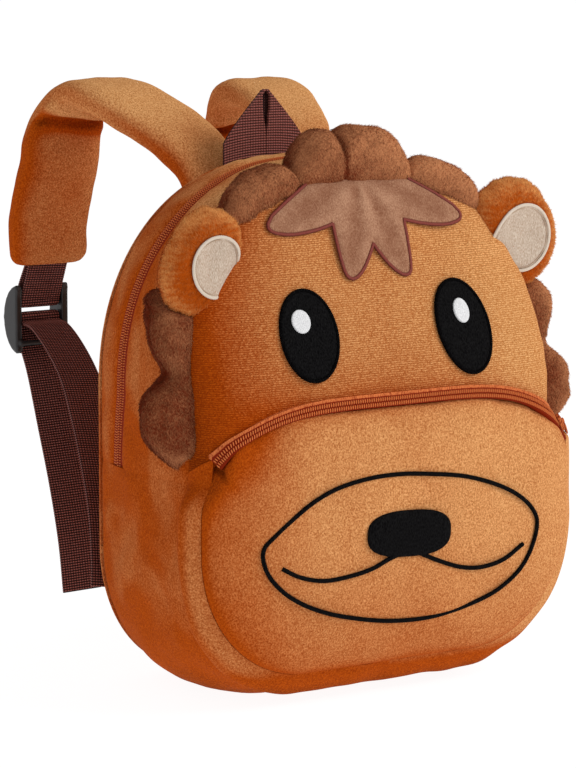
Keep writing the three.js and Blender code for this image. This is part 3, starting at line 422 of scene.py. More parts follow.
class Outline:
    """Seam line of a panel in the X-Z plane: station 0 is the base centre and 5 the top centre."""

    def __init__(self, floor, half, base, corner, shoulder, rise, power):
        self.floor = floor
        self.half = half
        self.base = base
        self.corner = corner
        self.shoulder = shoulder
        self.rise = rise
        self.power = power

    def rim(self, station):
        k = np.clip(station, 0.0, 4.999999)
        side = np.floor(k)
        t = k - side
        sine = np.sin(t * np.pi / 2)
        cosine = np.cos(t * np.pi / 2)
        knee = self.floor + self.corner
        curl = 2 / self.power
        x = np.select(
            [side == 0, side == 1, side < 4],
            [self.base * t, self.base + (self.half - self.base) * sine, self.half + 0 * t],
            self.half * cosine**curl,
        )
        z = np.select(
            [side == 0, side == 1, side == 2, side == 3],
            [
                self.floor + 0 * t,
                self.floor + self.corner * (1 - cosine),
                lerp(knee, ZIP_END_Z, t),
                lerp(ZIP_END_Z, self.shoulder, t),
            ],
            self.shoulder + self.rise * sine**curl,
        )
        return x, z

    def gauge(self, x, z):
        """0 at the middle of the outline and 1 on it."""
        wide = np.abs(x)
        up = np.maximum(0.0, z - self.shoulder) / self.rise
        high = ((wide / self.half) ** self.power + up**self.power) ** (1 / self.power)
        knee = self.floor + self.corner
        down = np.maximum(0.0, knee - z) / self.corner
        bend = self.half - self.base
        a = (wide / bend) ** 2 + down**2
        b = self.base * wide / bend**2
        c = (self.base / bend) ** 2 - 1
        round_part = a / np.maximum(b + np.sqrt(np.maximum(b * b - a * c, 0.0)), 1e-9)
        low = np.where(wide <= self.base * down, down, round_part)
        return np.where(z < knee, low, high)

    def top(self, x):
        across = np.minimum(1.0, np.abs(x) / self.half)
        return self.shoulder + self.rise * (1 - across**self.power) ** (1 / self.power)

    def bottom(self, x):
        over = np.maximum(0.0, np.abs(x) - self.base) / (self.half - self.base)
        return self.floor + self.corner * (1 - np.sqrt(np.maximum(0.0, 1 - over * over)))

    def puff(self, power, x, z):
        return np.sqrt(np.maximum(0.0, 1 - np.minimum(self.gauge(x, z), 1.0) ** power))

    def inset(self, x, z):
        """Rough distance inside the outline."""
        return (1 - self.gauge(x, z)) * INSET_REACH

    def columns(self, count, rows):
        """Places across the outline for each row, closer at its sides."""
        return self.half * np.sin(np.linspace(-0.5, 0.5, count) * np.pi)[None, :] + 0 * rows


REAR = Outline(3, 91.5, 45, 60, 135, 101, 2.15)
FRONT = Outline(8, 97, 46, 60, 135, 98, 2.6)
POCKET = Outline(16, 101, 46, 58, 186, 98, 2.6)
POCKET_FOOT = Outline(4.6, 100.4, 46, 63.4, 135, 98, 2.6)


def seam_y(z):
    return curve(SEAM_LEAN, z)


def zip_z(x):
    return ARCH_TOP - ARCH_DROP * (np.abs(x) / POCKET.half) ** ARCH_POWER


def face_y(x, z):
    face = curve(FACE_PROFILE, z) * (1 - 0.16 * (x / FRONT.half) ** 2)
    reach = lerp(BEHIND_POCKET, face, smoothstep(-16, 0, z - zip_z(x)))
    return seam_y(z) - GAP - reach * FRONT.puff(FACE_PUFF, x, z)


def pocket_y(x, z):
    return POCKET_SEAM_Y - curve(POCKET_PROFILE, zip_z(x) - z) * POCKET.puff(POCKET_PUFF, x, z)


def pocket_skin(x, z):
    """Points on the pocket's cloth, with its upper left corner turned in to the face."""
    drop = np.maximum(0.0, zip_z(x) - POCKET_ZIP_HALF - z)
    turned = smoothstep(84, 100, -x) * bell(drop, 8.0)
    return xyz(x * (1 - 0.065 * turned), pocket_y(x, z) + 3 * turned, z)


def back_y(x, z):
    return REAR_Y + GAP + BACK_REACH * REAR.puff(BACK_PUFF, x, z)


def front_rim(k):
    x, z = FRONT.rim(k)
    return xyz(x, seam_y(z), z)


def rear_rim(k):
    x, z = REAR.rim(k)
    return xyz(x, REAR_Y + 0 * x, z)


def pocket_foot_rim(k):
    x, z = POCKET_FOOT.rim(k)
    return xyz(x, seam_y(FRONT.rim(k)[1]), z)


def pocket_rim(k):
    x, z = POCKET.rim(k)
    return xyz(x, POCKET_SEAM_Y + 0 * x, z)


def strip_points(first, second, station, side, v, bulge):
    """Points of a strip between two rims: v is 0 at the first and 1 at the second."""
    share = np.asarray(v)[..., None]
    middle = lerp(first(station), second(station), share)
    after = np.minimum(station + 0.01, TOP_STATION)
    before = np.maximum(station - 0.01, 0.0)
    way = unit(lerp(first(after), second(after), share) - lerp(first(before), second(before), share))
    most = lerp(bulge[0], bulge[1], smoothstep(5, 45, middle[..., 2]))
    swell = most * 4 * v * (1 - v)
    middle[..., 0] += way[..., 2] * swell
    middle[..., 2] = np.maximum(0.0, middle[..., 2] - way[..., 0] * swell)
    middle[..., 0] *= side
    return middle


def even_stations(start, end, count):
    """Stations at even distances along the front seam."""
    fine = np.linspace(start, end, 2000)
    run = arc_lengths(front_rim(fine))
    stations = np.interp(np.linspace(0, run[-1], count), run, fine)
    stations[-1] = end
    return stations


def both_sides(stations):
    """Stations down the left half and up the right one, with their sides."""
    run = np.concatenate([stations, stations[-2::-1]])
    side = np.concatenate([np.full(len(stations), LEFT), np.full(len(stations) - 1, RIGHT)])
    return run, side


# Meshes
def quads(ids):
    return np.stack([ids[:-1, :-1], ids[:-1, 1:], ids[1:, 1:], ids[1:, :-1]], -1).reshape(-1, 4)


def outward(points, faces):
    """Faces of a closed mesh, turned to look out."""
    volume = 0.0
    for group in faces:
        for k in range(1, group.shape[1] - 1):
            a, b, c = points[group[:, 0]], points[group[:, k]], points[group[:, k + 1]]
            volume += np.einsum("ij,ij->i", a, np.cross(b, c)).sum()
    return [group[:, ::-1] for group in faces] if volume < 0 else faces


def slab(outer, inner):
    """Closed wall between two grids of points."""
    rows, columns = outer.shape[:2]
    ids = np.arange(rows * columns).reshape(rows, columns)
    ring = np.concatenate([ids[0, :-1], ids[:-1, -1], ids[-1, :0:-1], ids[:0:-1, 0]])
    after = np.roll(ring, -1)
    points = np.concatenate([outer.reshape(-1, 3), inner.reshape(-1, 3)])
    below = rows * columns
    wall = np.stack([ring, ring + below, after + below, after], -1)
    faces = [np.concatenate([quads(ids), quads(ids)[:, ::-1] + below, wall])]
    return points, outward(points, faces)


def loft(loops, closed=False):
    """Solid through loops of points, capped at both ends or joined into a ring."""
    count, around = loops.shape[:2]
    ids = np.arange(count * around).reshape(count, around)
    ids = np.concatenate([ids, ids[:, :1]], 1)
    points = loops.reshape(-1, 3)
    if closed:
        return points, outward(points, [quads(np.concatenate([ids, ids[:1]], 0))])
    points = np.concatenate([points, [loops[0].mean(0), loops[-1].mean(0)]])
    start = np.stack([ids[0, 1:], ids[0, :-1], np.full(around, count * around)], -1)
    end = np.stack([ids[-1, :-1], ids[-1, 1:], np.full(around, count * around + 1)], -1)
    return points, outward(points, [quads(ids), np.concatenate([start, end])])


def grid_normals(points):
    """Normals of a grid, looking away from the middle of the bag."""
    normal = unit(np.cross(np.gradient(points, axis=1), np.gradient(points, axis=0)))
    away = ((points - BAG_MIDDLE) * normal).sum()
    return normal if away > 0 else -normal


class Body:
    """Points, faces and named marks of a mesh in the making."""

    def __init__(self):
        self.points = []
        self.faces = []
        self.marks = {}
        self.count = 0

    def add(self, shape, **marks):
        points, faces = shape
        self.points.append(points)
        self.faces.extend(group + self.count for group in faces)
        for name, values in marks.items():
            self.marks.setdefault(name, []).append((self.count, np.broadcast_to(values, len(points))))
        self.count += len(points)
        return self

    def piece(self, name, nodes, slot, finish, crisp=50.0):
        """Adds the mesh to the scene in the place of some solids."""
        mesh = bpy.data.meshes.new(name)
        points = np.concatenate(self.points) * MM
        corners = np.concatenate([group.ravel() for group in self.faces])
        sizes = np.concatenate([np.full(len(group), group.shape[1]) for group in self.faces])
        mesh.vertices.add(len(points))
        mesh.vertices.foreach_set("co", points.astype(np.float32).ravel())
        mesh.loops.add(len(corners))
        mesh.loops.foreach_set("vertex_index", corners.astype(np.int32))
        mesh.polygons.add(len(sizes))
        mesh.polygons.foreach_set("loop_start", (np.cumsum(sizes) - sizes).astype(np.int32))
        mesh.update(calc_edges=True)
        for mark, runs in self.marks.items():
            values = np.zeros(len(points), np.float32)
            for start, part in runs:
                values[start : start + len(part)] = part
            mesh.attributes.new(mark, "FLOAT", "POINT").data.foreach_set("value", values)
        mesh.shade_smooth()
        mesh.set_sharp_from_angle(angle=math.radians(crisp))
        mesh.materials.append(finish)
        obj = bpy.data.objects.new(name, mesh)
        bpy.context.scene.collection.objects.link(obj)
        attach(obj, "root")
        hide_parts(*nodes)
        return obj


def soft_copy(node, voxel, rounds):
    """Points and faces of a solid, rounded and divided evenly."""
    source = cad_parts[node]
    obj = bpy.data.objects.new("soft_" + node, source.data.copy())
    bpy.context.scene.collection.objects.link(obj)
    obj.modifiers.new("Weld", "WELD").merge_threshold = 0.01 * MM
    divide = obj.modifiers.new("Divide", "REMESH")
    divide.mode = "VOXEL"
    divide.voxel_size = voxel * MM
    smooth = obj.modifiers.new("Smooth", "SMOOTH")
    smooth.factor = 0.5
    smooth.iterations = rounds
    shape = obj.evaluated_get(bpy.context.evaluated_depsgraph_get()).to_mesh()
    points = np.empty(len(shape.vertices) * 3, np.float32)
    corners = np.empty(len(shape.loops), np.int32)
    shape.vertices.foreach_get("co", points)
    shape.loops.foreach_get("vertex_index", corners)
    mesh = obj.data
    bpy.data.objects.remove(obj)
    bpy.data.meshes.remove(mesh)
    return points.reshape(-1, 3).astype(float) / MM, [corners.reshape(-1, 4).astype(int)]


def quad_normals(points, faces):
    """Normals of a mesh of quads, each twice as long as its quad's area."""
    corners = points[faces[0]]
    return np.cross(corners[:, 2] - corners[:, 0], corners[:, 3] - corners[:, 1])


def strands(points, faces, shade, count, length, flow, seed):
    """Thin closed spikes on a mesh of quads, lying along flow(roots), with their marks."""
    rng = np.random.default_rng(seed)
    corners = points[faces[0]]
    cross = quad_normals(points, faces)
    area = np.linalg.norm(cross, axis=-1)
    pick = rng.choice(len(area), count, p=area / area.sum())
    u, v = rng.random((2, count, 1))
    c = corners[pick]
    root = lerp(lerp(c[:, 0], c[:, 1], u), lerp(c[:, 3], c[:, 2], u), v)
    normal = unit(cross[pick])
    lie = flow(root)
    lie = unit(lie - normal * (lie * normal).sum(-1, keepdims=True))
    way = unit(lie + STRAND_LIFT * normal + STRAND_SCATTER * rng.normal(size=(count, 3)))
    reach = length * rng.uniform(*STRAND_SHARES, (count, 1))
    first = unit(np.cross(normal, rng.normal(size=(count, 3))))
    second = np.cross(normal, first)
    base = root - STRAND_ROOT * normal
    ring = []
    for turn in STRAND_TURNS:
        ring.append(base + STRAND_RADIUS * (math.cos(turn) * first + math.sin(turn) * second))
    spikes = np.stack([*ring, root + reach * way], 1).reshape(-1, 3)
    ids = np.arange(count)[:, None] * 4
    sides = np.concatenate([ids + np.array(k) for k in ((0, 1, 3), (1, 2, 3), (2, 0, 3), (0, 2, 1))])
    marks = {
        "tip": np.tile([0.0, 0.0, 0.0, 1.0], count),
        "tone": np.repeat(rng.random(count), 4),
        "shade": np.repeat(shade[faces[0]].mean(1)[pick], 4),
    }
    return (spikes, outward(spikes, [sides])), marks


# Finishes
class Wire:
    """A socket of a node tree, on which sums, differences and products add Math nodes."""

    def __init__(self, finish, socket):
        self.finish = finish
        self.socket = socket

    def math(self, operation, *values):
        return self.finish.add("ShaderNodeMath", {"operation": operation}, dict(enumerate(values)))

    def __add__(self, other):
        return self.math("ADD", self, other)

    def __radd__(self, other):
        return self.math("ADD", other, self)

    def __sub__(self, other):
        return self.math("SUBTRACT", self, other)

    def __rsub__(self, other):
        return self.math("SUBTRACT", other, self)

    def __mul__(self, other):
        return self.math("MULTIPLY", self, other)

    def __rmul__(self, other):
        return self.math("MULTIPLY", other, self)

    def sine(self):
        return self.math("SINE", self)

    def between(self, low, high):
        """0 at or below low and 1 at or above high, with a smooth step."""
        sockets = {"Value": self, "From Min": low, "From Max": high}
        return self.finish.add("ShaderNodeMapRange", {"interpolation_type": "SMOOTHSTEP"}, sockets)


class Finish:
    """A material in the making."""

    def __init__(self, name):
        self.material = bpy.data.materials.new(name)
        self.material.use_nodes = True
        self.tree = self.material.node_tree
        self.tree.nodes.clear()

    def add(self, kind, settings, sockets, output=0):
        """A node with its settings made first and then its socket values or links."""
        node = self.tree.nodes.new(kind)
        for name, value in settings.items():
            setattr(node, name, value)
        for key, value in sockets.items():
            if isinstance(value, Wire):
                self.tree.links.new(value.socket, node.inputs[key])
            else:
                node.inputs[key].default_value = value
        return Wire(self, node.outputs[output])

    def place(self, stretch=(1.0, 1.0, 1.0)):
        """Position in metres, with each axis stretched."""
        spot = self.add("ShaderNodeTexCoord", {}, {}, "Object")
        return self.add("ShaderNodeVectorMath", {"operation": "MULTIPLY"}, {0: spot, 1: stretch})

    def mark(self, name):
        return self.add("ShaderNodeAttribute", {"attribute_name": name}, {}, "Fac")

    def noise(self, spot, size, detail=2.0, warp=0.0):
        """Noise with features of about a size in millimetres."""
        sockets = {"Vector": spot, "Scale": 1000.0 / size, "Detail": detail, "Distortion": warp}
        return self.add("ShaderNodeTexNoise", {}, sockets)

    def blend(self, factor, first, second, kind="MIX"):
        sockets = {0: factor, 6: first, 7: second}
        return self.add("ShaderNodeMix", {"data_type": "RGBA", "blend_type": kind}, sockets, 2)

    def surface(self, colour, rough, height, depth, **constants):
        """Sets the surface, with bumps of a depth in millimetres."""
        sockets = {"Strength": 1.0, "Distance": depth * MM, "Height": height}
        normal = self.add("ShaderNodeBump", {}, sockets, "Normal")
        sockets = {"Base Color": colour, "Roughness": rough, "Normal": normal}
        sockets.update({name.replace("_", " "): value for name, value in constants.items()})
        shader = self.add("ShaderNodeBsdfPrincipled", {}, sockets)
        self.add_output(shader)
        return self.material

    def add_output(self, shader):
        node = self.tree.nodes.new("ShaderNodeOutputMaterial")
        self.tree.links.new(shader.socket, node.inputs["Surface"])


def plush_finish(colours, name, stretch, rows, brush):
    """Short plush: the shade mark darkens it with painted shade, rows and brush weigh its knitted rows and
    brushed patches.
    """
    finish = Finish(name)
    spot = finish.place()
    shade = finish.mark("shade")
    patches = finish.noise(finish.place((1.0, 1.0, 0.7)), 26.0, 2.0, 0.4).between(0.25, 0.8)
    grain = finish.noise(finish.place(stretch), 0.75, 2.0)
    fine = finish.noise(spot, 0.5, 1.0)
    height = grain * 0.68 + fine * 0.32
    if rows:
        level = finish.add("ShaderNodeSeparateXYZ", {}, {0: spot}, "Z")
        wander = finish.noise(spot, 4.0, 3.0) * 6.0
        ribs = (level * (2 * math.pi / (KNIT_ROW * MM)) + wander).sine() * 0.5 + 0.5
        broken = finish.noise(spot, 0.9, 1.0).between(0.3, 0.65)
        height = height * (1.0 - rows) + ribs * broken * rows
    # Painted shade from the shade mark, with the brushed patches and the grain
    depth = shade + (patches - 0.5) * brush + (0.47 - height) * 0.6
    colour = finish.blend(depth.between(-0.25, 1.0), colours.plush_lit_and_raised, colours.plush_shaded_and_brushed)
    # Painted shadow in creases: where the painted shade runs past the shaded colour, it darkens further
    crease_shadow = [0.35 * c for c in colours.plush_shaded_and_brushed[:3]] + [1.0]
    colour = finish.blend(depth.between(1.2, 2.4), colour, crease_shadow)
    tips = finish.blend(height.between(0.26, 0.74), (0.68, 0.5, 0.34, 1.0), (1.26, 1.3, 1.34, 1.0))
    colour = finish.blend(1.0, colour, tips, "MULTIPLY")
    gloss = {"Sheen_Weight": 0.05, "Sheen_Roughness": 0.4, "Sheen_Tint": colours.plush_lit_and_raised}
    return finish.surface(colour, 0.95, height, 0.6, Specular_IOR_Level=0.04, **gloss)


def pile_finish(name, light, deep, size):
    """Longer pile: the marks tip and tone belong to its strands, and its shade mark is painted shade and
    painted light.
    """
    finish = Finish(name)
    nap = finish.noise(finish.place((1.3, 1.3, 0.8)), size, 2.0)
    soft = finish.noise(finish.place(), 8.0, 2.0).between(0.35, 0.68)
    tip = finish.mark("tip")
    tone = finish.mark("tone")
    shade = finish.mark("shade")
    lit = tip * 0.24 + tone * 0.18 + nap * 0.85 + soft * 0.12 - 0.26 - shade
    colour = finish.blend(lit.between(0.0, 1.0), deep, light)
    gloss = {"Sheen_Weight": 0.1, "Sheen_Roughness": 0.35, "Sheen_Tint": light}
    return finish.surface(colour, 0.9, nap, 0.35, Specular_IOR_Level=0.06, **gloss)


def thread_finish(name, light, deep, rough, size, gloss=0.2):
    """Satin thread: fine strands with a slight gloss."""
    finish = Finish(name)
    strand = finish.noise(finish.place((2.2, 1.0, 0.6)), size, 2.0)
    shade = finish.mark("shade")
    colour = finish.blend((strand - shade).between(0.3, 0.72), deep, light)
    return finish.surface(colour, rough, strand, 0.2, Specular_IOR_Level=gloss)


def web_finish(colours, pitch):
    """Webbing: the marks run and across are millimetres along and across it."""
    finish = Finish("webbing_weave")
    run = finish.mark("run")
    across = finish.mark("across")
    shade = finish.mark("shade")
    ribs = (run * (2 * math.pi / pitch)).sine() * 0.5 + 0.5
    ends = (across * (2 * math.pi / WEB_THREAD)).sine() * 0.5 + 0.5
    fluff = finish.noise(finish.place(), 0.7, 2.0)
    raised = ribs * 0.25 + ribs * ends * 0.75
    factor = (raised * 0.95 + fluff * 0.4 - 0.14 - shade).between(0.1, 0.9)
    colour = finish.blend(factor, colours.web_deep, colours.web_light)
    return finish.surface(colour, 0.72, raised + fluff * 0.3, 0.3, Specular_IOR_Level=0.15)


def plastic_finish(colours):
    finish = Finish("moulded_plastic")
    spot = finish.place()
    grain = finish.noise(spot, 0.5, 2.0)
    wear = finish.noise(spot, 8.0, 3.0)
    lighter = [0.06 + 0.7 * c for c in colours.plastic[:3]] + [1.0]
    colour = finish.blend(wear.between(0.35, 0.95) * 0.5, colours.plastic, lighter)
    return finish.surface(colour, wear * 0.25 + 0.32, grain, 0.05, Specular_IOR_Level=0.5)


# Panels
def painted_shade_facing_away(normals, weight):
    """Painted shade on pile that faces away from the key light."""
    return weight * (1 - smoothstep(-0.15, 0.8, normals @ KEY_LIGHT_WAY))


def painted_left_shade(x):
    """Painted shade towards the left, the side turned away from the key light."""
    return 0.16 * smoothstep(60, -10, x) + 0.5 * smoothstep(-35, -92, x)


def seam_curl(distance, depth=1.2, width=1.6):
    """Fall of the cloth towards a seam."""
    return -depth * fade(np.maximum(distance, 0.0), width)


def two_faced(values):
    """Marks of a grid for both faces of its wall."""
    return np.concatenate([values.ravel(), values.ravel()])


def cloth(points, thickness, swell, shade):
    """Closed wall of cloth under a grid of points that is first moved along its normals."""
    normal = grid_normals(points)
    outer = points + normal * swell[..., None]
    inner = points - normal * thickness
    for grid in (outer, inner):
        grid[..., 2] = np.maximum(grid[..., 2], 0.0)
    return Body().add(slab(outer, inner), shade=two_faced(shade))


class LIONBAG_OT_face(bpy.types.Operator):
    """Face panel above the pocket zip, with the wall behind the pocket"""

    bl_idname = "lionbag.face"
    bl_label = "Face panel"

    def execute(self, context):
        scene = context.scene
        dent = scene.lionbag_sizes.wrinkle / MM
        shown = 1 + np.sin(np.linspace(0, 1, FACE_GRID[0]) * np.pi / 2)
        rows = np.concatenate([FACE_HIDDEN, shown])[:, None]
        x = FRONT.columns(FACE_GRID[1], rows)
        edge = zip_z(x) - 1
        low = lerp(FRONT.bottom(x), edge, np.minimum(rows, 1.0))
        z = np.where(rows < 1, low, lerp(edge, FRONT.top(x), np.maximum(rows - 1, 0.0)))
        points = xyz(x, face_y(x, z), z)
        near = FRONT.inset(x, z)
        above = z - zip_z(x)
        swell = waves(points, 52, 3) * dent * 0.8 + waves(points, 15, 4) * 0.5 * fade(near, 8)
        swell = swell * smoothstep(0, 6, near) - 1.1 * fade(np.abs(above - 2), 4)
        # Painted shade in the hollow above the pocket zip and along the seam, painted shade away from the key
        # light and towards the left, and painted light towards the right
        shade = 0.4 * fade(np.maximum(above - 3, 0), 9) + 0.3 * fade(near, 7)
        shade += painted_shade_facing_away(grid_normals(points), 0.3) + painted_left_shade(x) + 0.06 - 0.26 * smoothstep(20, 85, x)
        finish = plush_finish(scene.lionbag_colours, "plush_knit_face", (0.8, 0.8, 1.1), 0.27, 0.12)
        body = cloth(points, WALL - 0.5, swell, shade)
        body.piece("face_plush", ["front_panel"], "plush", finish)
        return {"FINISHED"}


def pocket_sheet(dent):
    """Grid, swell and shade of the pocket's puffed front."""
    rows = (1 - np.cos(np.linspace(0, 1, POCKET_GRID[0]) * np.pi / 2))[:, None]
    x = POCKET.columns(POCKET_GRID[1], rows)
    beyond = np.maximum(POCKET_ZIP_ENDS[0] - x, x - POCKET_ZIP_ENDS[1])
    sewn = 2 * POCKET_ZIP_HALF * smoothstep(-1, 2, beyond)
    z = lerp(POCKET.bottom(x), zip_z(x) - POCKET_ZIP_HALF + sewn, rows)
    points = pocket_skin(x, z)
    drop = zip_z(x) - POCKET_ZIP_HALF - z
    points[..., 1] += 0.9 * np.maximum(-drop, 0.0) * (x < 0)
    drop = np.maximum(drop, 0.0)
    near = POCKET.inset(x, z)
    swell = waves(points, 44, 8) * dent + waves(points * [1, 0.4, 0.3], 11, 9) * 0.45 * fade(drop, 9)
    fold, part = segment(x, z, FOLD_START, FOLD_END)
    groove = bell(fold, 1.6) * (1 - part * 0.8)
    swell += -1.4 * groove + 0.9 * bell(fold - 4, 2.5) * (1 - part)
    swell *= smoothstep(0, 5, near)
    swell += seam_curl(drop, 0.9, 1.2)
    # Painted shade along the seam, under the zip and in the fold, towards the left and the bottom, away from
    # the key light, and in the corner under the zip's left end
    shade = 0.2 * fade(near, 1.5) + 0.3 * fade(drop, 4) + 0.6 * groove
    shade += lerp(0.45, 0.75, smoothstep(50, 90, z)) * painted_left_shade(x)
    shade += painted_shade_facing_away(grid_normals(points), 0.35) + 0.12 + 0.26 * smoothstep(90, 25, z)
    shade += 0.4 * smoothstep(26, 4, drop) * smoothstep(-60, -84, x)
    return points, swell, shade


def pocket_band_sheet(dent):
    """Grid, swell and shade of the strip round the pocket, with a hem at its upper right end."""
    run, side = both_sides(np.concatenate([np.linspace(3.15, 2.02, 40), np.linspace(2, 0, 90)]))
    run = np.where((side > 0) & (run > 3), lerp(3.0, run, 0.65), run)
    side = side[:, None]
    left = side < 0
    v = np.linspace(0.012, 0.995, 16)[None, :] + 0 * run[:, None]
    points = strip_points(pocket_foot_rim, pocket_rim, run[:, None], side, v, POCKET_BULGE)
    high = points[..., 2]
    # Painted shade along the seam, away from the key light, along the base and at the band's left edge by the
    # pocket
    shade = 0.25 * fade(v * BAND_WIDTH, 2.5) + painted_shade_facing_away(grid_normals(points), 0.7)
    shade += 0.14 + 0.9 * smoothstep(22, 6, high) + 0.25 * smoothstep(0.75, 1.0, v) * left
    turned = bell(np.maximum(0.0, np.where(left, 106.0, 112.0) - high), np.where(left, 8.0, 2.5))
    depth = np.clip((seam_y(high) - points[..., 1]) / 24, 0.0, 0.95)
    wall = FRONT.half * (1 - depth**2) ** (1 / FACE_PUFF) + 0.6
    edge = wall + np.where(left, 2.2, 9.5) * v
    points[..., 0] = lerp(points[..., 0], side * edge, turned)
    points[..., 1] += 2.5 * turned * v * left
    # Painted shade on the turned-in ends
    shade += 0.4 * turned
    swell = (waves(points, 24, 12) * dent * 0.5 + seam_curl(v * BAND_WIDTH, 0.8, 1.0)) * (1 - turned)
    fold = np.linspace(0, 1, HEM_ROWS + 1)[1:, None]
    x, y, z = points[-1].T
    hem = xyz(lerp(x, wall[-1] - 1.5, fold), y + 0 * fold, z + 1.5 * np.sin(fold * np.pi / 2))
    swell, shade = (np.concatenate([field, np.repeat(field[-1:], HEM_ROWS, 0)]) for field in (swell, shade))
    return np.concatenate([points, hem]), swell, shade


class LIONBAG_OT_pocket(bpy.types.Operator):
    """Front pocket: its puffed front and the band round its side"""

    bl_idname = "lionbag.pocket"
    bl_label = "Pocket"

    def execute(self, context):
        scene = context.scene
        dent = scene.lionbag_sizes.wrinkle / MM
        finish = plush_finish(scene.lionbag_colours, "plush_velour_pocket", (1.0, 1.0, 0.9), 0.0, 0.12)
        points, swell, shade = pocket_sheet(dent)
        body = cloth(points, WALL - 0.5, swell, shade)
        body.piece("pocket_front_plush", ["pocket_front"], "plush", finish)
        points, swell, shade = pocket_band_sheet(dent)
        body = cloth(points, WALL - 0.6, swell, shade)
        body.piece("pocket_band_plush", ["pocket_band"], "plush", finish)
        return {"FINISHED"}


def zip_v(k):
    """Share of the gusset's width at which the main zip runs, further forward at the shoulders."""
    return lerp(0.75, 0.63, smoothstep(ZIP_STATION, TOP_STATION, k)) - 0.09 * bell(k - 4.55, 0.3)


def zip_edge(k, offset):
    """Share of the gusset's width at an offset from the zip's line."""
    return zip_v(k) + offset / np.linalg.norm(front_rim(k) - rear_rim(k), axis=-1)


def back_sheet(dent):
    """Grid, swell and shade of the back panel."""
    rows = ((1 - np.cos(np.linspace(0, 1, BACK_GRID[0]) * np.pi)) / 2)[:, None]
    x = REAR.columns(BACK_GRID[1], rows)
    z = lerp(REAR.bottom(x), REAR.top(x), rows)
    points = xyz(x, back_y(x, z), z)
    near = REAR.inset(x, z)
    swell = (waves(points, 48, 31) * dent * 1.2 - 0.4) * smoothstep(0, 8, near)
    # Painted shade over the back, darker along its seam
    return points, swell, 0.25 + 0.35 * fade(near, 5)


class LIONBAG_OT_shell(bpy.types.Operator):
    """Gusset round the sides in three parts, and the back panel"""

    bl_idname = "lionbag.shell"
    bl_label = "Gusset and back"

    def execute(self, context):
        scene = context.scene
        dent = scene.lionbag_sizes.wrinkle / MM
        finish = plush_finish(scene.lionbag_colours, "plush_brushed_sides", (1.0, 1.0, 0.9), 0.0, 0.55)
        lower = even_stations(ZIP_STATION, 0, GUSSET_ROWS)
        upper = even_stations(ZIP_STATION, TOP_STATION, GUSSET_ROWS)
        first, last = GUSSET_EDGES
        parts = [
            ("gusset_lower", lower, lambda k: first + 0 * k, lambda k: last + 0 * k, 44),
            ("gusset_front", upper, lambda k: first + 0 * k, lambda k: zip_edge(k, -ZIP_HALF), 30),
            ("gusset_rear", upper, lambda k: zip_edge(k, ZIP_HALF), lambda k: last + 0 * k, 14),
        ]
        for node, stations, start, end, columns in parts:
            run, side = both_sides(stations)
            v = lerp(start(run)[:, None], end(run)[:, None], np.linspace(0, 1, columns)[None, :])
            points = strip_points(front_rim, rear_rim, run[:, None], side[:, None], v, GUSSET_BULGE)
            high = points[..., 2]
            edge = np.minimum(v - v[:, :1], v[:, -1:] - v) * GUSSET_WIDTH
            way = arc_lengths(points[:, columns // 2])
            end_gap = np.minimum(way, way[-1] - way)[:, None] + 0 * v
            swell = waves(points, 38, 21) * dent + waves(points, 16, 22) * 0.25
            swell = swell * smoothstep(0, 6, edge) + seam_curl(edge) + seam_curl(end_gap, 0.35, 1.5)
            # Painted shade along the seams and the ends, away from the key light, towards the bottom and
            # along the base, and painted light near the top
            shade = 0.3 * fade(edge, 4) + 0.06 * fade(end_gap, 2.5) + painted_shade_facing_away(grid_normals(points), 0.7)
            shade += 0.3 * smoothstep(75, 10, high)
            shade += 0.15 - 0.27 * smoothstep(180, 235, high) + 0.55 * smoothstep(20, 3, high)
            cloth(points, WALL - 0.6, swell, shade).piece(node + "_plush", [node], "plush", finish)
        points, swell, shade = back_sheet(dent)
        body = cloth(points, BACK_WALL - 0.5, swell, shade)
        body.piece("back_plush", ["back_panel"], "plush", finish)
        return {"FINISHED"}


# Zips
def teeth(spot, along, across, up, length, width):
    """Rounded bars at many spots, each lying across its zip."""
    turns = np.linspace(0, 2 * np.pi, TOOTH_SIDES + 1)[:-1]
    rings = []
    for part, size in TOOTH_RINGS:
        centre = spot + across * (length * part)
        for turn in turns:
            wide = width * size * math.cos(turn)
            rings.append(centre + along * wide + up * (TOOTH_HEIGHT * size * math.sin(turn)))
    points = np.stack(rings, 1).reshape(-1, 3)
    ids = np.arange(len(rings)).reshape(-1, TOOTH_SIDES)
    skin = quads(np.concatenate([ids, ids[:, :1]], 1))
    caps = np.array([ids[0, ::-1], ids[-1]])
    base = (np.arange(len(spot)) * len(rings))[:, None, None]
    faces = [(skin[None] + base).reshape(-1, 4), (caps[None] + base).reshape(-1, TOOTH_SIDES)]
    return points, outward(points, faces)


def even_run(points, pitch):
    """Places along a line at an even pitch, as row numbers of the line."""
    run = arc_lengths(points)
    return np.interp(np.arange(pitch / 2, run[-1], pitch), run, np.arange(len(points)))


def at_rows(points, rows):
    low = np.minimum(rows.astype(int), len(points) - 2)
    return lerp(points[low], points[low + 1], (rows - low)[:, None])


def coil(body, tape, lift, place, pitch, rows, length):
    """Adds rows of bars on a tape grid, at offsets from the line at a share of its width."""
    columns = tape.shape[1] - 1
    column = place * columns
    low = min(int(column), columns - 1)
    line = lerp(tape[:, low], tape[:, low + 1], column - low)
    across = unit(tape[:, -1] - tape[:, 0])
    along = unit(np.gradient(line, axis=0))
    normal = grid_normals(tape)[:, low]
    places = even_run(line, pitch)
    spot = at_rows(line, places)
    a, b, c = (unit(at_rows(field, places)) for field in (along, across, normal))
    for offset in rows:
        shift = a * (0.25 * pitch * np.sign(offset))
        centre = spot + shift + b * offset + c * lift
        body.add(teeth(centre, a, b, c, length, pitch * TOOTH_WIDTH), shade=TOOTH_SHADE)


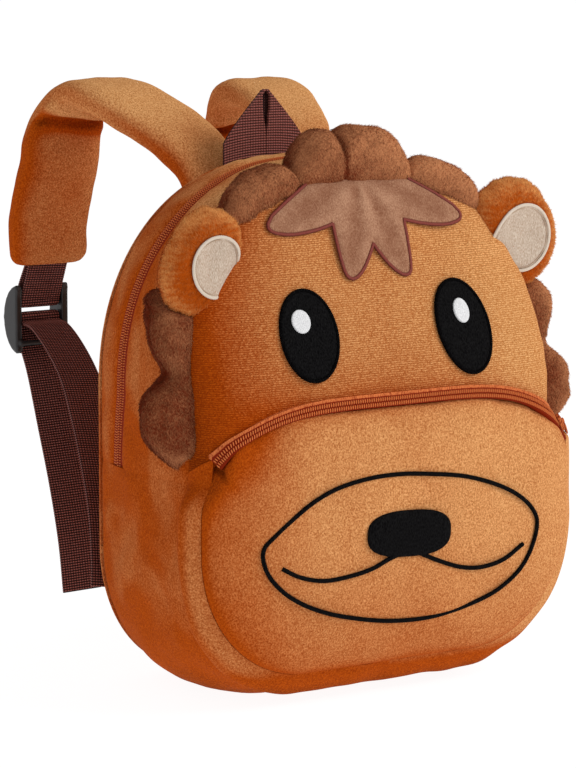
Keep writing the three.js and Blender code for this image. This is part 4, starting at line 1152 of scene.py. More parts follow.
def zip_slider(spot, along, across, up, pull):
    """Slider body with a tab that hangs along the zip."""
    turn = np.linspace(0, 2 * np.pi, 25)[:-1]
    c = soft_power(np.cos(turn), 0.6)
    s = soft_power(np.sin(turn), 0.6)

    def plate(middle, half, wide, low, high, taper):
        loops = []
        for share, size in SLIDER_RINGS:
            flat = np.outer(c * half * size, along) + np.outer(s * wide * size * (1 + taper * c), across)
            loops.append(middle + flat + up * lerp(low, high, share))
        return loft(np.stack(loops))

    body = Body().add(plate(spot, 4.2, 2.9, 0.4, 2.6, 0.15), shade=0.0)
    body.add(plate(spot + along * 0.5, 1.6, 0.8, 2.2, 3.8, 0.0), shade=-0.1)
    return body.add(plate(spot + along * (pull / 2 + 1), pull / 2, 1.9, 2.9, 3.7, -0.12), shade=-0.05)


def main_zip(pitch, finish):
    """Zip over the top of the bag, with its slider on the right side."""
    run, side = both_sides(even_stations(ZIP_STATION + 0.006, TOP_STATION, ZIP_GRID[0]))
    offset = np.linspace(-ZIP_HALF - ZIP_TUCK, ZIP_HALF + ZIP_TUCK, ZIP_GRID[1])
    v = np.stack([zip_edge(run, o) for o in offset], 1)
    top = strip_points(front_rim, rear_rim, run[:, None], side[:, None], v, GUSSET_BULGE)
    normal = grid_normals(top)
    tape = top - normal * 0.9
    dark = 0.3 + 0.5 * bell(offset, 0.5) + 0.5 * bell(np.abs(offset) - 1.9, 0.5)
    body = Body().add(slab(tape, top - normal * 2.6), shade=two_faced(dark[None, :] + 0 * v))
    coil(body, tape, 0.35, 0.5, pitch, (-0.95, 0.95), 0.9)
    coil(body, tape, 0.1, 0.5, pitch, (-2.9, 2.9), 0.9)
    body.piece("main_zip_coil", ["main_zip"], "zip_coil", finish)
    row = np.argmin(np.where(side == RIGHT, np.abs(run - ZIP_SLIDER_STATION), np.inf))
    column = len(offset) // 2
    along = unit(tape[row + 2, column] - tape[row - 2, column])
    along = along if along[2] < 0 else -along
    across = unit(tape[row, -1] - tape[row, 0])
    shape = zip_slider(tape[row, column], along, across, normal[row, column], ZIP_PULL)
    shape.piece("main_zip_slider_cast", ["main_zip_slider"], "zip_coil", finish)


def pocket_zip(pitch, finish):
    """Zip between the face and the pocket, with its slider at the right end."""
    x = np.linspace(*POCKET_ZIP_ENDS, POCKET_ZIP_GRID[0])[:, None]
    share = np.linspace(0, 1, POCKET_ZIP_GRID[1])[None, :]
    low = pocket_skin(x, zip_z(x) - POCKET_ZIP_HALF)
    level = zip_z(x) + POCKET_ZIP_HALF
    near = np.clip(x, *POCKET_ZIP_FACE)
    high = xyz(near, face_y(near, level), level)
    narrow = 1 - 0.2 * smoothstep(88, 96, np.abs(x))
    tape = lerp(low, high, (share * narrow)[..., None])
    normal = grid_normals(tape)
    lift = (0.9 + 0.7 * share) * lerp(1.0, 0.7, smoothstep(80, 96, np.abs(x)))
    tape = tape + normal * lift[..., None]
    dark = 0.4 - 0.5 * smoothstep(2.0, 2.5, (share - 0.4) * 2 * POCKET_ZIP_HALF)
    body = Body().add(slab(tape, tape - normal * 3.0), shade=two_faced(dark + 0 * x))
    coil(body, tape, 0.4, 0.4, pitch, (-1.1, 1.1), 1.6)
    body.piece("pocket_zip_coil", ["pocket_zip"], "zip_coil", finish)
    row, column = POCKET_SLIDER
    along = unit(tape[-2, column] - tape[-7, column])
    across = unit(tape[row, -1] - tape[row, 0])
    shape = zip_slider(tape[row, column], along, across, normal[row, column], POCKET_PULL)
    shape.piece("pocket_zip_slider_cast", ["pocket_zip_slider"], "zip_coil", finish)


class LIONBAG_OT_zips(bpy.types.Operator):
    """Main zip over the top, pocket zip under the face, and their sliders"""

    bl_idname = "lionbag.zips"
    bl_label = "Zips"

    def execute(self, context):
        scene = context.scene
        colours = scene.lionbag_colours
        pitch = scene.lionbag_sizes.tooth / MM
        finish = thread_finish("zip_thread", colours.zip_light, colours.zip_deep, 0.65, 0.9, 0.05)
        main_zip(pitch, finish)
        pocket_zip(pitch, finish)
        return {"FINISHED"}


# Stuffed pieces
def seam_frame(arc):
    """Place, way along and way out on the front seam at arc lengths from the top centre."""
    fine = np.linspace(TOP_STATION, 2.8, 4000)
    x, z = FRONT.rim(fine)
    run = np.concatenate([[0.0], np.cumsum(np.hypot(np.diff(x), np.diff(z)))])
    side = np.where(arc < 0, -1.0, 1.0)
    at = np.abs(arc)
    way_x = np.interp(at, run, np.gradient(x, run))
    way_z = np.interp(at, run, np.gradient(z, run))
    zero = 0 * at
    place = xyz(np.interp(at, run, x) * side, zero, np.interp(at, run, z))
    return place, xyz(way_x, zero, way_z * side), xyz(-way_z * side, zero, way_x)


def gusset_rise(place, out, behind):
    """How far the gusset stands out of the front seam at a distance behind it."""
    taller = REAR.shoulder + REAR.rise - FRONT.shoulder - FRONT.rise
    drift = out[..., 2] * taller + np.abs(out[..., 0]) * (REAR.half - FRONT.half)
    v = behind / (REAR_Y - seam_y(place[..., 2]))
    return 4 * GUSSET_BULGE[1] * v * (1 - v) + np.maximum(0.0, drift) * v


def mane_loops(rows, side, count):
    """Loops of a stuffed roll that straddles the front seam."""
    table = np.array(rows, float)
    t = np.linspace(0, 1, count)
    arcs = lerp(table[0, 0], table[-1, 0], lerp(t, (1 - np.cos(t * np.pi)) / 2, 0.6))
    rise, back, wrap, start = (curve(table[:, [0, k]], arcs) for k in (1, 2, 3, 4))
    place, _, out = seam_frame(arcs * side)
    deep = seam_y(place[:, 2])
    on_face = place - out * wrap[:, None]
    free = smoothstep(0, 5, start)
    a = np.stack([gusset_rise(place, out, back) + 0.3, deep + back], -1)
    b_face = np.stack([-wrap, face_y(on_face[:, 0], on_face[:, 2]) - 0.3], -1)
    b_free = np.stack([gusset_rise(place, out, start) + 0.3, deep + start], -1)
    b = lerp(b_face, b_free, free[:, None])
    seam = lerp(np.stack([0 * deep + 0.3, deep], -1), (a + b) / 2, free[:, None])
    run = a - b
    up = unit(np.stack([run[:, 1], -run[:, 0]], -1))
    points = []
    for turn in np.linspace(0, np.pi, 40):
        groove = GROOVE_DEPTH * bell(turn - GROOVE_TURN, GROOVE_WIDTH) * (rise > GROOVE_LEAST)
        high = rise * math.sin(turn) ** 0.8 - groove
        points.append(b + run * ((1 - math.cos(turn)) / 2) + up * high[:, None])
    for part in (0.2, 0.4, 0.6, 0.8):
        points.append(lerp(lerp(a, seam, part), lerp(seam, b, part), part))
    zero = 0 * deep
    return np.stack([place + out * p[:, :1] + xyz(zero, p[:, 1], zero) for p in points], 1)


def furry(points, faces, shade, sizes, flow, seed):
    """Stuffed shape with strands all over it."""
    body = Body().add((points, faces), tip=0.0, tone=0.5, shade=shade)
    area = np.linalg.norm(quad_normals(points, faces), axis=-1).sum() / 2
    count = int(min(area * sizes.density, STRANDS_MOST))
    hair, marks = strands(points, faces, shade, count, sizes.pile / MM, flow, seed)
    return body.add(hair, **marks)


def rope(path, up, width, height, pitch, slant=0.6, closed=False):
    """Raised band of satin stitches along a line of points with their normals."""
    run = arc_lengths(path)
    even = np.linspace(0, run[-1], max(8, int(run[-1] / ROPE_STEP)))[: -1 if closed else None]
    line = resample(path, run, even)
    rise = unit(resample(up, run, even))
    if closed:
        way = unit(np.roll(line, -1, axis=0) - np.roll(line, 1, axis=0))
    else:
        way = unit(np.gradient(line, axis=0))
    across = unit(np.cross(way, rise))
    loops = []
    for turn in np.linspace(0, np.pi, 9):
        c, s = math.cos(turn), math.sin(turn)
        ridge = 1 + 0.13 * np.cos(2 * np.pi * even / pitch + slant * c * 3)
        side = across * (ridge * c * width / 2)[:, None]
        loops.append(line + side + rise * (ridge * s**0.7 * height)[:, None])
    for share in (-0.4, 0.4):
        loops.append(line + across * (width * share) - rise * 0.3)
    return loft(np.stack(loops, 1), closed)


def ring_power(turn, power):
    """Cosine and sine of angles on a rounded square."""
    return soft_power(np.cos(turn), 2 / power), soft_power(np.sin(turn), 2 / power)


class LIONBAG_OT_ears(bpy.types.Operator):
    """Ears with long pile, and their cream insides with a stitched rim"""

    bl_idname = "lionbag.ears"
    bl_label = "Ears"

    def execute(self, context):
        scene = context.scene
        colours = scene.lionbag_colours
        sizes = scene.lionbag_sizes
        tips = [c * share for c, share in zip(colours.plush_lit_and_raised, (1.0, 0.86, 0.66, 1.0))]
        fur = pile_finish("plush_pile_ears", tips, colours.plush_shaded_and_brushed, 0.9)
        cream = thread_finish("cream_twill", colours.cream_rim, colours.cream, 0.85, 0.6, 0.1)
        turn = np.linspace(0, 2 * np.pi, 121)[:-1]
        around = np.append(turn, 0.0)
        steps = np.sin(np.linspace(0.02, 1, 26) * np.pi / 2)
        for name, side, arc, y, half, rise, patch, lift in EARS:
            place, along, out = seam_frame(np.array(arc * side))
            place = place + out * lift
            mid_s, mid_t, wide, high = patch

            def front(s, t):
                """Depth of the hollowed front and half the thickness, at places on the ear."""
                up = (t - EAR_MIDDLE) / np.where(t > EAR_MIDDLE, rise, EAR_DROP)
                reach = (np.abs(s / half) ** EAR_POWER + np.abs(up) ** EAR_POWER) ** (1 / EAR_POWER)
                thick = EAR_THICK * np.sqrt(np.maximum(0.0, 1 - np.minimum(reach, 1.0) ** 2.6))
                inner = np.hypot((s - mid_s) / (wide * 1.12), (t - mid_t) / (high * 1.12))
                return y - thick + EAR_HOLLOW * np.maximum(0.0, 1 - inner**2) ** 1.3, thick

            def spot(s, t, depth):
                flat = place + np.multiply.outer(s, along) + np.multiply.outer(t, out)
                return flat + np.multiply.outer(depth, np.array([0.0, 1.0, 0.0]))

            def cream_ring(reach, turns, depth):
                across, up = mid_s + reach * wide * np.cos(turns), mid_t + reach * high * np.sin(turns)
                return spot(across, up, front(across, up)[0] + depth)

            c, s = ring_power(turn, EAR_POWER)
            loops, shade = [], []
            for rear, reach in [(False, r) for r in steps] + [(True, r) for r in steps[-2::-1]]:
                across = reach * half * c
                up = EAR_MIDDLE + reach * s * np.where(s > 0, rise, EAR_DROP)
                ahead, thick = front(across, up)
                loops.append(spot(across, up, y + EAR_BACK * thick if rear else ahead))
                # Painted shade in the front's hollow, fading to painted light at the rim; the back gets none
                tone = 0.0 if rear else 0.24 - 0.42 * smoothstep(0.66, 1.0, reach)
                shade.append(tone + 0 * turn)
            loops = np.stack(loops)
            hub = spot(np.array(0.0), np.array(EAR_MIDDLE), np.array(y))
            normal = unit(loops - hub)
            # Painted shade on pile that faces away from the key light
            shade = np.stack(shade) + painted_shade_facing_away(normal, 0.2) - 0.1
            shade += 0.12 * np.sin(loops[..., 2] * 2.2 + 1.5 * waves(loops, 9.0, 45 + side))
            loops += normal * (waves(loops, 8.0, 40 + side) * 0.3)[..., None]
            points, faces = loft(loops)

            def flow(root):
                return (root - hub) * np.array([1.0, 0.25, 1.0])

            # The front cap gets the painted shade of the hollow
            body = furry(points, faces, np.append(shade.ravel(), [0.3, 0.0]), sizes, flow, 40 + side)
            body.piece("ear_%s_plush" % name, ["ear_" + name], "plush", fur)
            loops = [cream_ring(reach, turn, -CREAM_LIFT) for reach in np.linspace(0.02, 1, 22)]
            loops += [cream_ring(reach, turn, CREAM_DEPTH) for reach in (1.0, 0.5, 0.02)]
            loops = np.stack(loops)
            loops[..., 1] += waves(loops, 9, 50 + side) * 0.2
            body = Body().add(loft(loops), shade=0.02)
            for reach, width, height, tone in CREAM_RIMS:
                edge = cream_ring(reach, around, -CREAM_LIFT)
                rise_way = np.broadcast_to(np.array([0.0, -1.0, 0.0]), edge.shape)
                body.add(rope(edge, rise_way, width, height, sizes.stitch / MM, 0.6, True), shade=tone)
            body.piece("ear_inner_%s_twill" % name, ["ear_inner_" + name], "cream_plush", cream)
        return {"FINISHED"}


class LIONBAG_OT_mane(bpy.types.Operator):
    """Mane rolls along the top and the sides of the face"""

    bl_idname = "lionbag.mane"
    bl_label = "Mane"

    def execute(self, context):
        scene = context.scene
        colours = scene.lionbag_colours
        fur = pile_finish("mane_pile", colours.mane_tips_and_lit, colours.mane_roots_and_shaded, 0.8)

        def flow(root):
            sway = 0.5 * waves(root, 25, 71)[:, None] * np.array([1.0, 0.0, 0.0])
            return np.array([0.0, -0.3, -1.0]) + sway

        shapes = {
            "mane_tuft": mane_loops(TUFT, RIGHT, 120),
            "mane_roll_left": mane_loops(ROLL, LEFT, 50),
            "mane_roll_right": mane_loops(ROLL, RIGHT, 50),
            "mane_side_left": mane_loops(SIDE, LEFT, 90),
            "mane_side_right": mane_loops(SIDE, RIGHT, 90),
        }
        for seed, (node, loops) in enumerate(shapes.items()):
            normal = unit(loops - loops.mean(1, keepdims=True))
            ahead = seam_y(loops[..., 2]) - loops[..., 1]
            # Painted light on pile that faces the key light and painted shade on pile that faces away, with
            # painted shade behind the seam
            shade = 0.02 - 0.3 * (normal @ KEY_LIGHT_WAY) + 0.1 * smoothstep(0, -22, ahead)
            if "side" in node:
                # Painted shadow of the face's edge on the side rolls
                shade += 0.06 + 0.3 * smoothstep(1, 8, ahead)
            if node == "mane_tuft":
                # Painted shade in the tuft's cleft
                shade += 0.3 * bell(loops[..., 0] - TUFT_CLEFT_X, 1.6)
            # Painted light towards the right
            shade -= 0.22 * smoothstep(-10, 25, loops[..., 0])
            loops = loops + normal * (waves(loops, 14, 60 + seed) * 0.5)[..., None]
            points, faces = loft(loops)
            shade = np.append(shade.ravel(), [0.2, 0.2])
            body = furry(points, faces, shade, scene.lionbag_sizes, flow, 60 + seed)
            body.piece(node + "_plush", [node], "mane_plush", fur)
        return {"FINISHED"}


# Appliqué and embroidery
def surface_normal(surface, x, z):
    step = 0.05
    slope_x = (surface(x + step, z) - surface(x - step, z)) / (2 * step)
    slope_z = (surface(x, z + step) - surface(x, z - step)) / (2 * step)
    return unit(xyz(slope_x, -1 + 0 * slope_x, slope_z))


def on_surface(surface, x, z, lift):
    return xyz(x, surface(x, z), z) + surface_normal(surface, x, z) * np.asarray(lift)[..., None]


def catmull(points, fine=24, closed=False):
    """Dense points on a centripetal curve through some points."""
    p = np.array(points, float)
    if closed:
        p = np.concatenate([p[-1:], p, p[:2]])
    else:
        p = np.concatenate([[2 * p[0] - p[1]], p, [2 * p[-1] - p[-2]]])
    t = np.linspace(0, 1, fine, endpoint=False)[:, None]
    made = []
    for a, b, c, d in zip(p, p[1:], p[2:], p[3:]):
        first, mid, last = (max(np.linalg.norm(q - r), 1e-6) ** 0.5 for q, r in ((b, a), (c, b), (d, c)))
        leave = ((b - a) / first - (c - a) / (first + mid) + (c - b) / mid) * mid
        arrive = ((c - b) / mid - (d - b) / (mid + last) + (d - c) / last) * mid
        square = -3 * b + 3 * c - 2 * leave - arrive
        made.append(b + leave * t + square * t**2 + (2 * b - 2 * c + leave + arrive) * t**3)
    return np.concatenate(made if closed else [*made, p[-2:-1]])


def line_on(surface, points, closed=False):
    """Path and normals of a flat line laid on a surface."""
    flat = np.array(points, float)
    if closed:
        flat = np.concatenate([flat, flat[:1]])
    return on_surface(surface, flat[:, 0], flat[:, 1], STITCH_LIFT - 0.1), surface_normal(surface, *flat.T)


def oval_point(row, reach, turn):
    """Flat place on an oval, and its place before it is tilted."""
    x0, z0, half, high, tilt, power = row
    lean = math.radians(tilt)
    c, s = ring_power(turn, power)
    u, w = reach * half * c, reach * high * s
    x = x0 + u * math.cos(lean) - w * math.sin(lean)
    return x, z0 + u * math.sin(lean) + w * math.cos(lean), u, w


def oval(surface, row, lift, thick, pitch, turn_threads):
    """Domed patch of satin threads on a surface."""
    turn = np.linspace(0, 2 * np.pi, 121)[:-1]
    dome = [(r, 1.0 + 0.12 * (1 - r)) for r in np.linspace(0.86, 0.02, 22)]
    loops = []
    for reach, part in [*OVAL_RIM, *dome]:
        x, z, u, w = oval_point(row, reach, turn)
        thread = np.cos(2 * np.pi * (u * math.cos(turn_threads) + w * math.sin(turn_threads)) / pitch)
        loops.append(on_surface(surface, x, z, lift + thick * part + 0.05 * thread * (part > 0.9)))
    return loft(np.stack(loops))


class LIONBAG_OT_embroidery(bpy.types.Operator):
    """Eyes with their glints, nose, and the lines of the muzzle and the mouth"""

    bl_idname = "lionbag.embroidery"
    bl_label = "Embroidery"

    def execute(self, context):
        scene = context.scene
        colours = scene.lionbag_colours
        pitch = scene.lionbag_sizes.stitch / MM
        grey = [0.009 + 1.3 * c for c in colours.black[:3]] + [1.0]
        black = thread_finish("satin_black", grey, colours.black, 0.8, 0.7, 0.03)
        pale = [0.82 * c for c in colours.white[:3]] + [1.0]
        white = thread_finish("satin_white", colours.white, pale, 0.5, 0.6)
        for name, row in EYES.items():
            shape = oval(face_y, row, STITCH_LIFT, STITCH_THICK, pitch, 0.9)
            x, z, _, _ = oval_point(row, 0.965, np.linspace(0, 2 * np.pi, 161))
            ring = on_surface(face_y, x, z, STITCH_LIFT + 0.5 + 0 * x)
            border = rope(ring, surface_normal(face_y, x, z), 1.7, 1.2, pitch, 0.6, True)
            body = Body().add(shape, shade=0.0).add(border, shade=0.1)
            body.piece("eye_%s_satin" % name, ["eye_" + name], "black_thread", black)
        for name, row in GLINTS.items():
            shape = oval(face_y, row, STITCH_LIFT + STITCH_THICK, 0.9, pitch, 0.2)
            Body().add(shape).piece("eye_glint_%s_satin" % name, ["eye_glint_" + name], "white_thread", white)
        shape = oval(pocket_y, NOSE, STITCH_LIFT, STITCH_THICK, pitch, 0.0)
        Body().add(shape).piece("nose_satin", ["nose"], "black_thread", black)
        lines = [("muzzle_line", MUZZLE, 0.8, True), ("mouth_line", MOUTH, 0.6, False)]
        for node, points, slant, closed in lines:
            path, up = line_on(pocket_y, catmull(points, closed=closed), closed)
            body = Body().add(rope(path, up, LINE_WIDTH, LINE_HEIGHT, pitch, slant, closed))
            body.piece(node + "_satin", [node], "black_thread", black)
        return {"FINISHED"}


def inside(x, z, loop):
    """Whether points lie in a flat closed loop."""
    found = np.zeros(len(x), bool)
    for (ax, az), (bx, bz) in zip(loop, np.roll(loop, -1, axis=0)):
        if az != bz:
            found ^= ((az > z) != (bz > z)) & (x < (bx - ax) * (z - az) / (bz - az) + ax)
    return found


def to_loop(x, z, loop):
    """Distance of points from a flat closed loop."""
    found = np.full(len(x), 1e9)
    for a, b in zip(loop, np.roll(loop, -1, axis=0)):
        if np.hypot(*(b - a)) > 1e-9:
            found = np.minimum(found, segment(x, z, a, b)[0])
    return found


class LIONBAG_OT_forelock(bpy.types.Operator):
    """Appliqué forelock with its satin edging"""

    bl_idname = "lionbag.forelock"
    bl_label = "Forelock"

    def execute(self, context):
        scene = context.scene
        colours = scene.lionbag_colours
        half = np.array(FORELOCK, float)
        loop = np.concatenate([half, half[-2:0:-1] * [-1, 1]])
        fine = []
        for a, b in zip(loop, np.roll(loop, -1, axis=0)):
            count = max(2, int(np.hypot(*(b - a)) / 0.8))
            fine.extend(np.linspace(a, b, count, endpoint=False))
        spans = (np.arange(*ends, FORELOCK_GRID) for ends in (FORELOCK_SPAN, FORELOCK_LEVELS))
        x, z = (field.ravel() for field in np.meshgrid(*spans))
        keep = inside(x, z, loop)
        keep[keep] = to_loop(x[keep], z[keep], loop) > FORELOCK_GRID / 2
        flat = np.concatenate([fine, np.stack([x[keep], z[keep]], -1)])
        made = delaunay_2d_cdt([Vector(p) for p in flat], [], [list(range(len(fine)))], 1, 1e-6)
        flat = np.array([tuple(p) for p in made[0]])
        faces = np.array([face for face in made[2] if len(face) == 3])
        x, z = flat.T
        near = to_loop(x, z, loop)
        angle = np.arctan2(x, FORELOCK_CROWN_Z - z)
        ridge = np.cos(angle * 9 + 0.4 * np.sin(angle * 4)) * smoothstep(1, 7, near)
        lift = STITCH_LIFT + 0.5 + 1.0 * (1 - fade(near, 1.6)) + 0.35 * ridge
        upper = on_surface(face_y, x, z, lift)
        lower = on_surface(face_y, x, z, 0 * x)
        edges = np.concatenate([faces[:, [0, 1]], faces[:, [1, 2]], faces[:, [2, 0]]])
        paired = {tuple(e) for e in edges}
        rim = np.array([e for e in edges if (e[1], e[0]) not in paired])
        count = len(flat)
        wall = np.stack([rim[:, 1], rim[:, 0], rim[:, 0] + count, rim[:, 1] + count], -1)
        points = np.concatenate([upper, lower])
        skins = [np.concatenate([faces, faces[:, ::-1] + count]), wall]
        shape = points, outward(points, skins)
        # Painted light on the ridges of the folds and painted shade between them
        body = Body().add(shape, tip=0.5, tone=0.5, shade=two_faced(0.02 - 0.12 * ridge))
        velour = pile_finish("forelock_velour", colours.lock_tips_and_lit, colours.lock_deep_and_shaded, 0.7)
        body.piece("forelock_velour", ["forelock"], "forelock_plush", velour)
        deep = [0.55 * c for c in colours.edging[:3]] + [1.0]
        satin = thread_finish("satin_edging", colours.edging, deep, 0.5, 0.7)
        open_edge = half[:-2]
        path, up = line_on(face_y, np.concatenate([open_edge[::-1] * [-1, 1], open_edge[1:]]))
        path += up * 0.7
        shape = rope(path, up, 1.7, 0.7, scene.lionbag_sizes.stitch / MM, 0.7)
        around = np.append(np.tile(EDGING_SHADES, len(shape[0]) // len(EDGING_SHADES)), [0, 0])
        Body().add(shape, shade=around).piece("forelock_edging", ["forelock"], "forelock_plush", satin)
        return {"FINISHED"}


# Straps
def strap_x(strap, x):
    """Sideways place of a strap's point, from the left strap's distance from the middle."""
    side, splay = strap
    return side * (PAD_ROOT_X + (x - PAD_ROOT_X) * splay)


def strap_frame(line):
    """Ways across and up from a strap that runs along a line of points."""
    way = unit(np.gradient(line, axis=0))
    across = unit(np.array([1.0, 0.0, 0.0]) - way * way[:, :1])
    return across, np.cross(across, way)


class LIONBAG_OT_pads(bpy.types.Operator):
    """Padded shoulder straps"""

    bl_idname = "lionbag.pads"
    bl_label = "Strap pads"

    def execute(self, context):
        scene = context.scene
        finish = plush_finish(scene.lionbag_colours, "plush_smooth_straps", (1.0, 1.0, 0.9), 0.0, 0.2)
        rows = np.array(PAD, float)
        count = np.arange(len(rows))
        turn = np.linspace(0, 2 * np.pi, 73)[:-1]
        c = soft_power(np.cos(turn), 0.55)
        s = soft_power(np.sin(turn), 0.8)
        edge = bell(np.abs(c) - 1, 0.03)
        inner = np.clip(-s * 1.6, 0.0, 1.0)
        for name, strap in STRAPS.items():
            x, y, z = rows[:, 0], rows[:, 1], rows[:, 2]
            swing, drop = PAD_LIE[name]
            x = strap_x(strap, x) + strap[0] * swing * smoothstep(40, 75, y) * smoothstep(118, 84, y)
            line = catmull(xyz(x, y, z - drop * smoothstep(222, 250, z)), 14)
            at = np.linspace(0, len(rows) - 1, len(line))
            width, thick = (curve(np.stack([count, rows[:, k]], 1), at) for k in (3, 4))
            gone = np.linalg.norm(line - line[-1], axis=-1)
            thick *= np.sqrt(np.clip(0.25 + gone / 6, 0.0, 1.0))
            width -= 2 * (PAD_CORNER - np.sqrt(PAD_CORNER**2 - np.maximum(0.0, PAD_CORNER - gone) ** 2))
            across, up = strap_frame(line)
            loops = line[:, None] + across[:, None] * (width[:, None] / 2 * c)[..., None]
            loops = loops + up[:, None] * (thick[:, None] / 2 * s)[..., None]
            normal = unit(across[:, None] * c[:, None] ** 3 + up[:, None] * s[:, None])
            swell = waves(loops, 30, 81) * 0.5 + waves(loops, 12, 82) * 0.15 - 0.5 * edge
            run = arc_lengths(line)
            bend = (run - np.interp(PAD_BEND, at, run))[:, None] + 4 * c
            swell += inner * (1.8 * bell(bend + 6, 4.5) - 3.6 * bell(bend, 2.6))
            loops = loops + normal * swell[..., None]
            # Painted shade on pile that faces away from the key light and along the seamed edges
            shade = painted_shade_facing_away(normal, 0.45) + 0.1 * edge - 0.14
            # Painted shadow in the crease under the bend and below it
            shade += inner * (1.3 * bell(bend - 2, 5) - 0.2 * bell(bend + 7, 4))
            shade += 0.5 * inner * smoothstep(26, 0, bend) * smoothstep(-2, 6, bend)
            # Painted shade on the hanging part and along the left edge, and a deeper colour towards the root
            shade += 0.64 * smoothstep(262, 225, loops[..., 2]) * smoothstep(100, 122, loops[..., 1])
            shade += 0.4 * smoothstep(92, 60, loops[..., 1]) + 0.12 * smoothstep(-0.5, -1.0, c)
            body = Body().add(loft(loops), shade=np.append(shade.ravel(), [0.5, 0.5]))
            body.piece("strap_pad_%s_plush" % name, ["strap_pad_" + name], "plush", finish)
        return {"FINISHED"}


def band(points, pitch):
    """Webbing along a curve, with its ribs and the marks of its weave."""
    fine = catmull(points)
    run = arc_lengths(fine)
    even = np.arange(0, run[-1], pitch / 4)
    line = resample(fine, run, even)
    across, up = strap_frame(line)
    ribs = 0.14 * np.sin(2 * np.pi * even / pitch)
    loops, flat = [], []
    for face in (1, -1):
        for u in np.linspace(-1, 1, 9) * face:
            thick = WEB_THICK / 2 * (1 - 0.25 * abs(u) ** 6) + ribs
            loops.append(line + across * (u * WEB_WIDTH / 2) + up * (face * thick)[:, None])
            flat.append(u * WEB_WIDTH / 2 + 0 * even)
    flat = np.append(np.stack(flat, 1).ravel(), [0.0, 0.0])
    along = np.append(np.repeat(even, len(loops)), [0.0, even[-1]])
    return Body().add(loft(np.stack(loops, 1)), across=flat, run=along, shade=0.0)


def turn_round(strap, bar, sign):
    """Points of the webbing round a bar at a height in the slider, over it or under it."""
    turn = np.linspace(0, np.pi, 5)
    depth = BUCKLE[1] - WEB_TURN * np.cos(turn)
    high = BUCKLE[2] + bar + sign * WEB_ARCH * WEB_TURN * np.sin(turn)
    return xyz(strap_x(strap, BUCKLE[0]) + 0 * turn, depth, high)


def web_points(strap, end_x, end_z, table):
    """Points of the webbing from the slider, by share of its way to an end, and depth."""
    part, y = np.array(table, float).T
    x = lerp(strap_x(strap, BUCKLE[0]), end_x, part)
    return xyz(x, y, lerp(BUCKLE[2], end_z, part))


def haul_loop(pitch):
    """Webbing folded to a point, with a slit down its front."""
    body = Body()
    high = np.arange(LOOP_FOOT, LOOP_STRAIGHT + LOOP_POINT, pitch / 4)[:, None]
    lean = np.clip((high - LOOP_STRAIGHT) / LOOP_POINT, 0, 1)
    outer = lerp(*LOOP_HALF, lean)
    slit = 0.2 + 1.9 * smoothstep(8, 24, high) * (1 - smoothstep(28, 30.6, high))
    ribs = 0.16 * np.sin(2 * np.pi * high / pitch)
    t = np.linspace(0, 1, 15)[None, :]
    for side in (LEFT, RIGHT):
        x = side * lerp(slit, np.maximum(outer, slit + 0.4), t)
        z = REAR.top(x * (1 - lean)) + 0.8 + high
        front = xyz(x, REAR_Y - 0.3 - ribs + 1.2 * t * (1 - lean), z)
        back = xyz(x, REAR_Y + 1.4 + 0 * x, z)
        body.add(slab(front, back), across=two_faced(x), run=two_faced(high + 0 * x), shade=-0.16)
    # The sheet behind the slit is marked darkest: painted shade inside the slit
    x = np.linspace(-1, 1, 21)[None, :] * np.maximum(outer - 0.3, 0.4)
    z = REAR.top(x * (1 - lean)) + 0.8 + high - 0.4
    sheet = xyz(x, REAR_Y + 2.9 + ribs + 0 * x, z)
    back = sheet - [0, 1.3, 0]
    return body.add(slab(sheet, back), across=two_faced(x), run=two_faced(high + 0 * x), shade=0.5)


class LIONBAG_OT_webbing(bpy.types.Operator):
    """Tabs, adjusting webs and the haul loop"""

    bl_idname = "lionbag.webbing"
    bl_label = "Webbing"

    def execute(self, context):
        scene = context.scene
        pitch = scene.lionbag_sizes.rib / MM
        finish = web_finish(scene.lionbag_colours, pitch)
        for name, strap in STRAPS.items():
            x = strap_x(strap, PAD_END[0])
            ends = np.array([[x, PAD_END[1] + k * WEB_THICK, PAD_END[2] + 3] for k in (-1, 1)])
            tab = np.concatenate([ends[:1], turn_round(strap, TAB_BAR, -1), ends[1:]])
            body = band(tab, pitch)
            body.piece("strap_tab_%s_weave" % name, ["strap_tab_" + name], "webbing", finish)
            load = web_points(strap, strap[0] * WEB_FOOT[0], WEB_FOOT[2], [(1, WEB_FOOT[1]), *LOAD_WEB])
            tail = web_points(strap, strap_x(strap, TAIL_END[0]), TAIL_END[2], [*TAIL_WEB, (1, TAIL_END[1])])
            body = band(np.concatenate([load, turn_round(strap, WEB_BAR, 1), tail]), pitch)
            body.piece("strap_web_%s_weave" % name, ["strap_web_" + name], "webbing", finish)
        haul_loop(pitch).piece("haul_loop_weave", ["haul_loop"], "webbing", finish)
        return {"FINISHED"}


class LIONBAG_OT_buckles(bpy.types.Operator):
    """Moulded strap sliders"""

    bl_idname = "lionbag.buckles"
    bl_label = "Strap sliders"

    def execute(self, context):
        finish = plastic_finish(context.scene.lionbag_colours)
        for name in STRAPS:
            body = Body().add(soft_copy("buckle_" + name, BUCKLE_VOXEL, BUCKLE_ROUNDS))
            body.piece("buckle_%s_moulded" % name, ["buckle_" + name], "black_plastic", finish, 70.0)
        return {"FINISHED"}


# Stage
def aim(obj, place):
    """Puts a lamp or the camera at a place, looking at the bag."""
    obj.location = place
    obj.rotation_euler = (Vector(AIM) - Vector(place)).to_track_quat("-Z", "Y").to_euler()
    bpy.context.scene.collection.objects.link(obj)


def area_light(name, place, size, power, colour):
    lamp = bpy.data.lights.new(name, "AREA")
    lamp.size = size
    lamp.energy = power
    lamp.color = colour
    aim(bpy.data.objects.new(name, lamp), place)


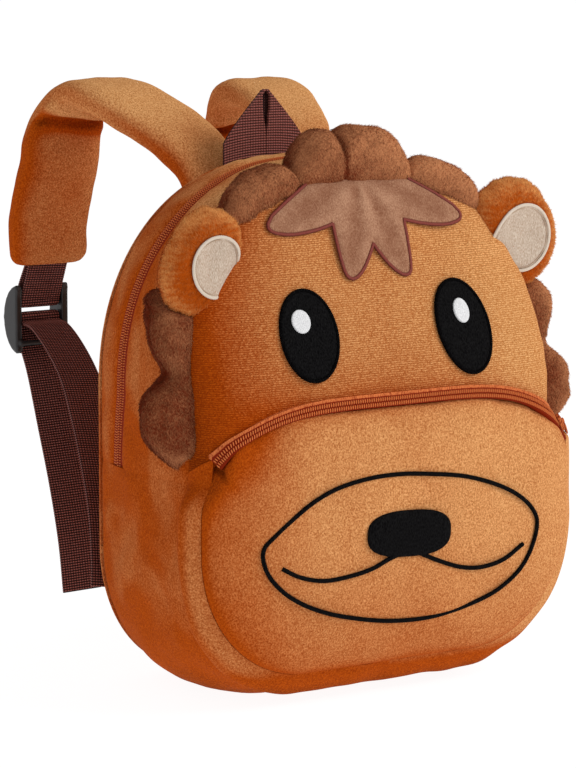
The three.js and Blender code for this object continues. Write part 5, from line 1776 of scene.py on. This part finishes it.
class LIONBAG_OT_stage(bpy.types.Operator):
    """Pale floor, soft studio light and the camera"""

    bl_idname = "lionbag.stage"
    bl_label = "Stage"

    def execute(self, context):
        scene = context.scene
        settings = scene.lionbag_stage
        mesh = bpy.data.meshes.new("stage_floor")
        corners = ((-1, -1), (1, -1), (1, 1), (-1, 1))
        mesh.from_pydata([(x * FLOOR_HALF, y * FLOOR_HALF, 0) for x, y in corners], [], [(0, 1, 2, 3)])
        finish = Finish("stage_paper")
        grain = finish.noise(finish.place(), 3.0, 2.0)
        colour = finish.blend(grain, linear("#767676"), linear("#7c7c7c"))
        paper = {"Emission_Color": (1.0, 1.0, 1.0, 1.0), "Emission_Strength": 0.93, "Specular_IOR_Level": 0.0}
        mesh.materials.append(finish.surface(colour, 0.9, grain, 0.02, **paper))
        floor = bpy.data.objects.new("stage_floor", mesh)
        floor.location.z = -FLOOR_DROP
        scene.collection.objects.link(floor)
        world = bpy.data.worlds.new("stage_sky")
        world.use_nodes = True
        sky = world.node_tree.nodes["Background"]
        sky.inputs["Color"].default_value = (1.0, 1.0, 1.0, 1.0)
        sky.inputs["Strength"].default_value = settings.sky
        scene.world = world
        area_light("stage_key", KEY_PLACE, KEY_SIZE, settings.key, (1.0, 0.98, 0.95))
        area_light("stage_fill", FILL_PLACE, FILL_SIZE, settings.fill, (1.0, 1.0, 1.0))
        lens = bpy.data.cameras.new("stage_camera")
        lens.lens = settings.lens
        lens.sensor_fit = "AUTO"
        lens.sensor_width = 36.0
        camera = bpy.data.objects.new("stage_camera", lens)
        aim(camera, CAMERA_PLACE)
        scene.camera = camera
        scene.view_settings.view_transform = "Standard"
        return {"FINISHED"}


JOBS = (
    LIONBAG_OT_face, LIONBAG_OT_pocket, LIONBAG_OT_shell, LIONBAG_OT_zips, LIONBAG_OT_ears, LIONBAG_OT_mane,
    LIONBAG_OT_forelock, LIONBAG_OT_embroidery, LIONBAG_OT_pads, LIONBAG_OT_webbing, LIONBAG_OT_buckles,
    LIONBAG_OT_stage,
)


class LIONBAG_PT_panel(bpy.types.Panel):
    """Settings and steps of the bag"""

    bl_label = "Lion bag"
    bl_idname = "LIONBAG_PT_panel"
    bl_space_type = "VIEW_3D"
    bl_region_type = "UI"
    bl_category = "Lion bag"

    def draw(self, context):
        for group in GROUPS:
            settings = getattr(context.scene, group)
            column = self.layout.column()
            for name in settings.bl_rna.properties.keys():
                if name not in ("rna_type", "name"):
                    column.prop(settings, name)
        for job in JOBS:
            self.layout.operator(job.bl_idname)


GROUPS = {
    "lionbag_colours": LIONBAG_PG_colours,
    "lionbag_sizes": LIONBAG_PG_sizes,
    "lionbag_stage": LIONBAG_PG_stage,
}


def register():
    for kind in (*GROUPS.values(), *JOBS, LIONBAG_PT_panel):
        bpy.utils.register_class(kind)
    for name, kind in GROUPS.items():
        setattr(bpy.types.Scene, name, PointerProperty(type=kind))


def unregister():
    for name in GROUPS:
        delattr(bpy.types.Scene, name)
    for kind in (LIONBAG_PT_panel, *reversed(JOBS), *GROUPS.values()):
        bpy.utils.unregister_class(kind)


def main():
    register()
    for job in JOBS:
        getattr(bpy.ops.lionbag, job.bl_idname.split(".")[1])()


if __name__ == "__main__":
    main()
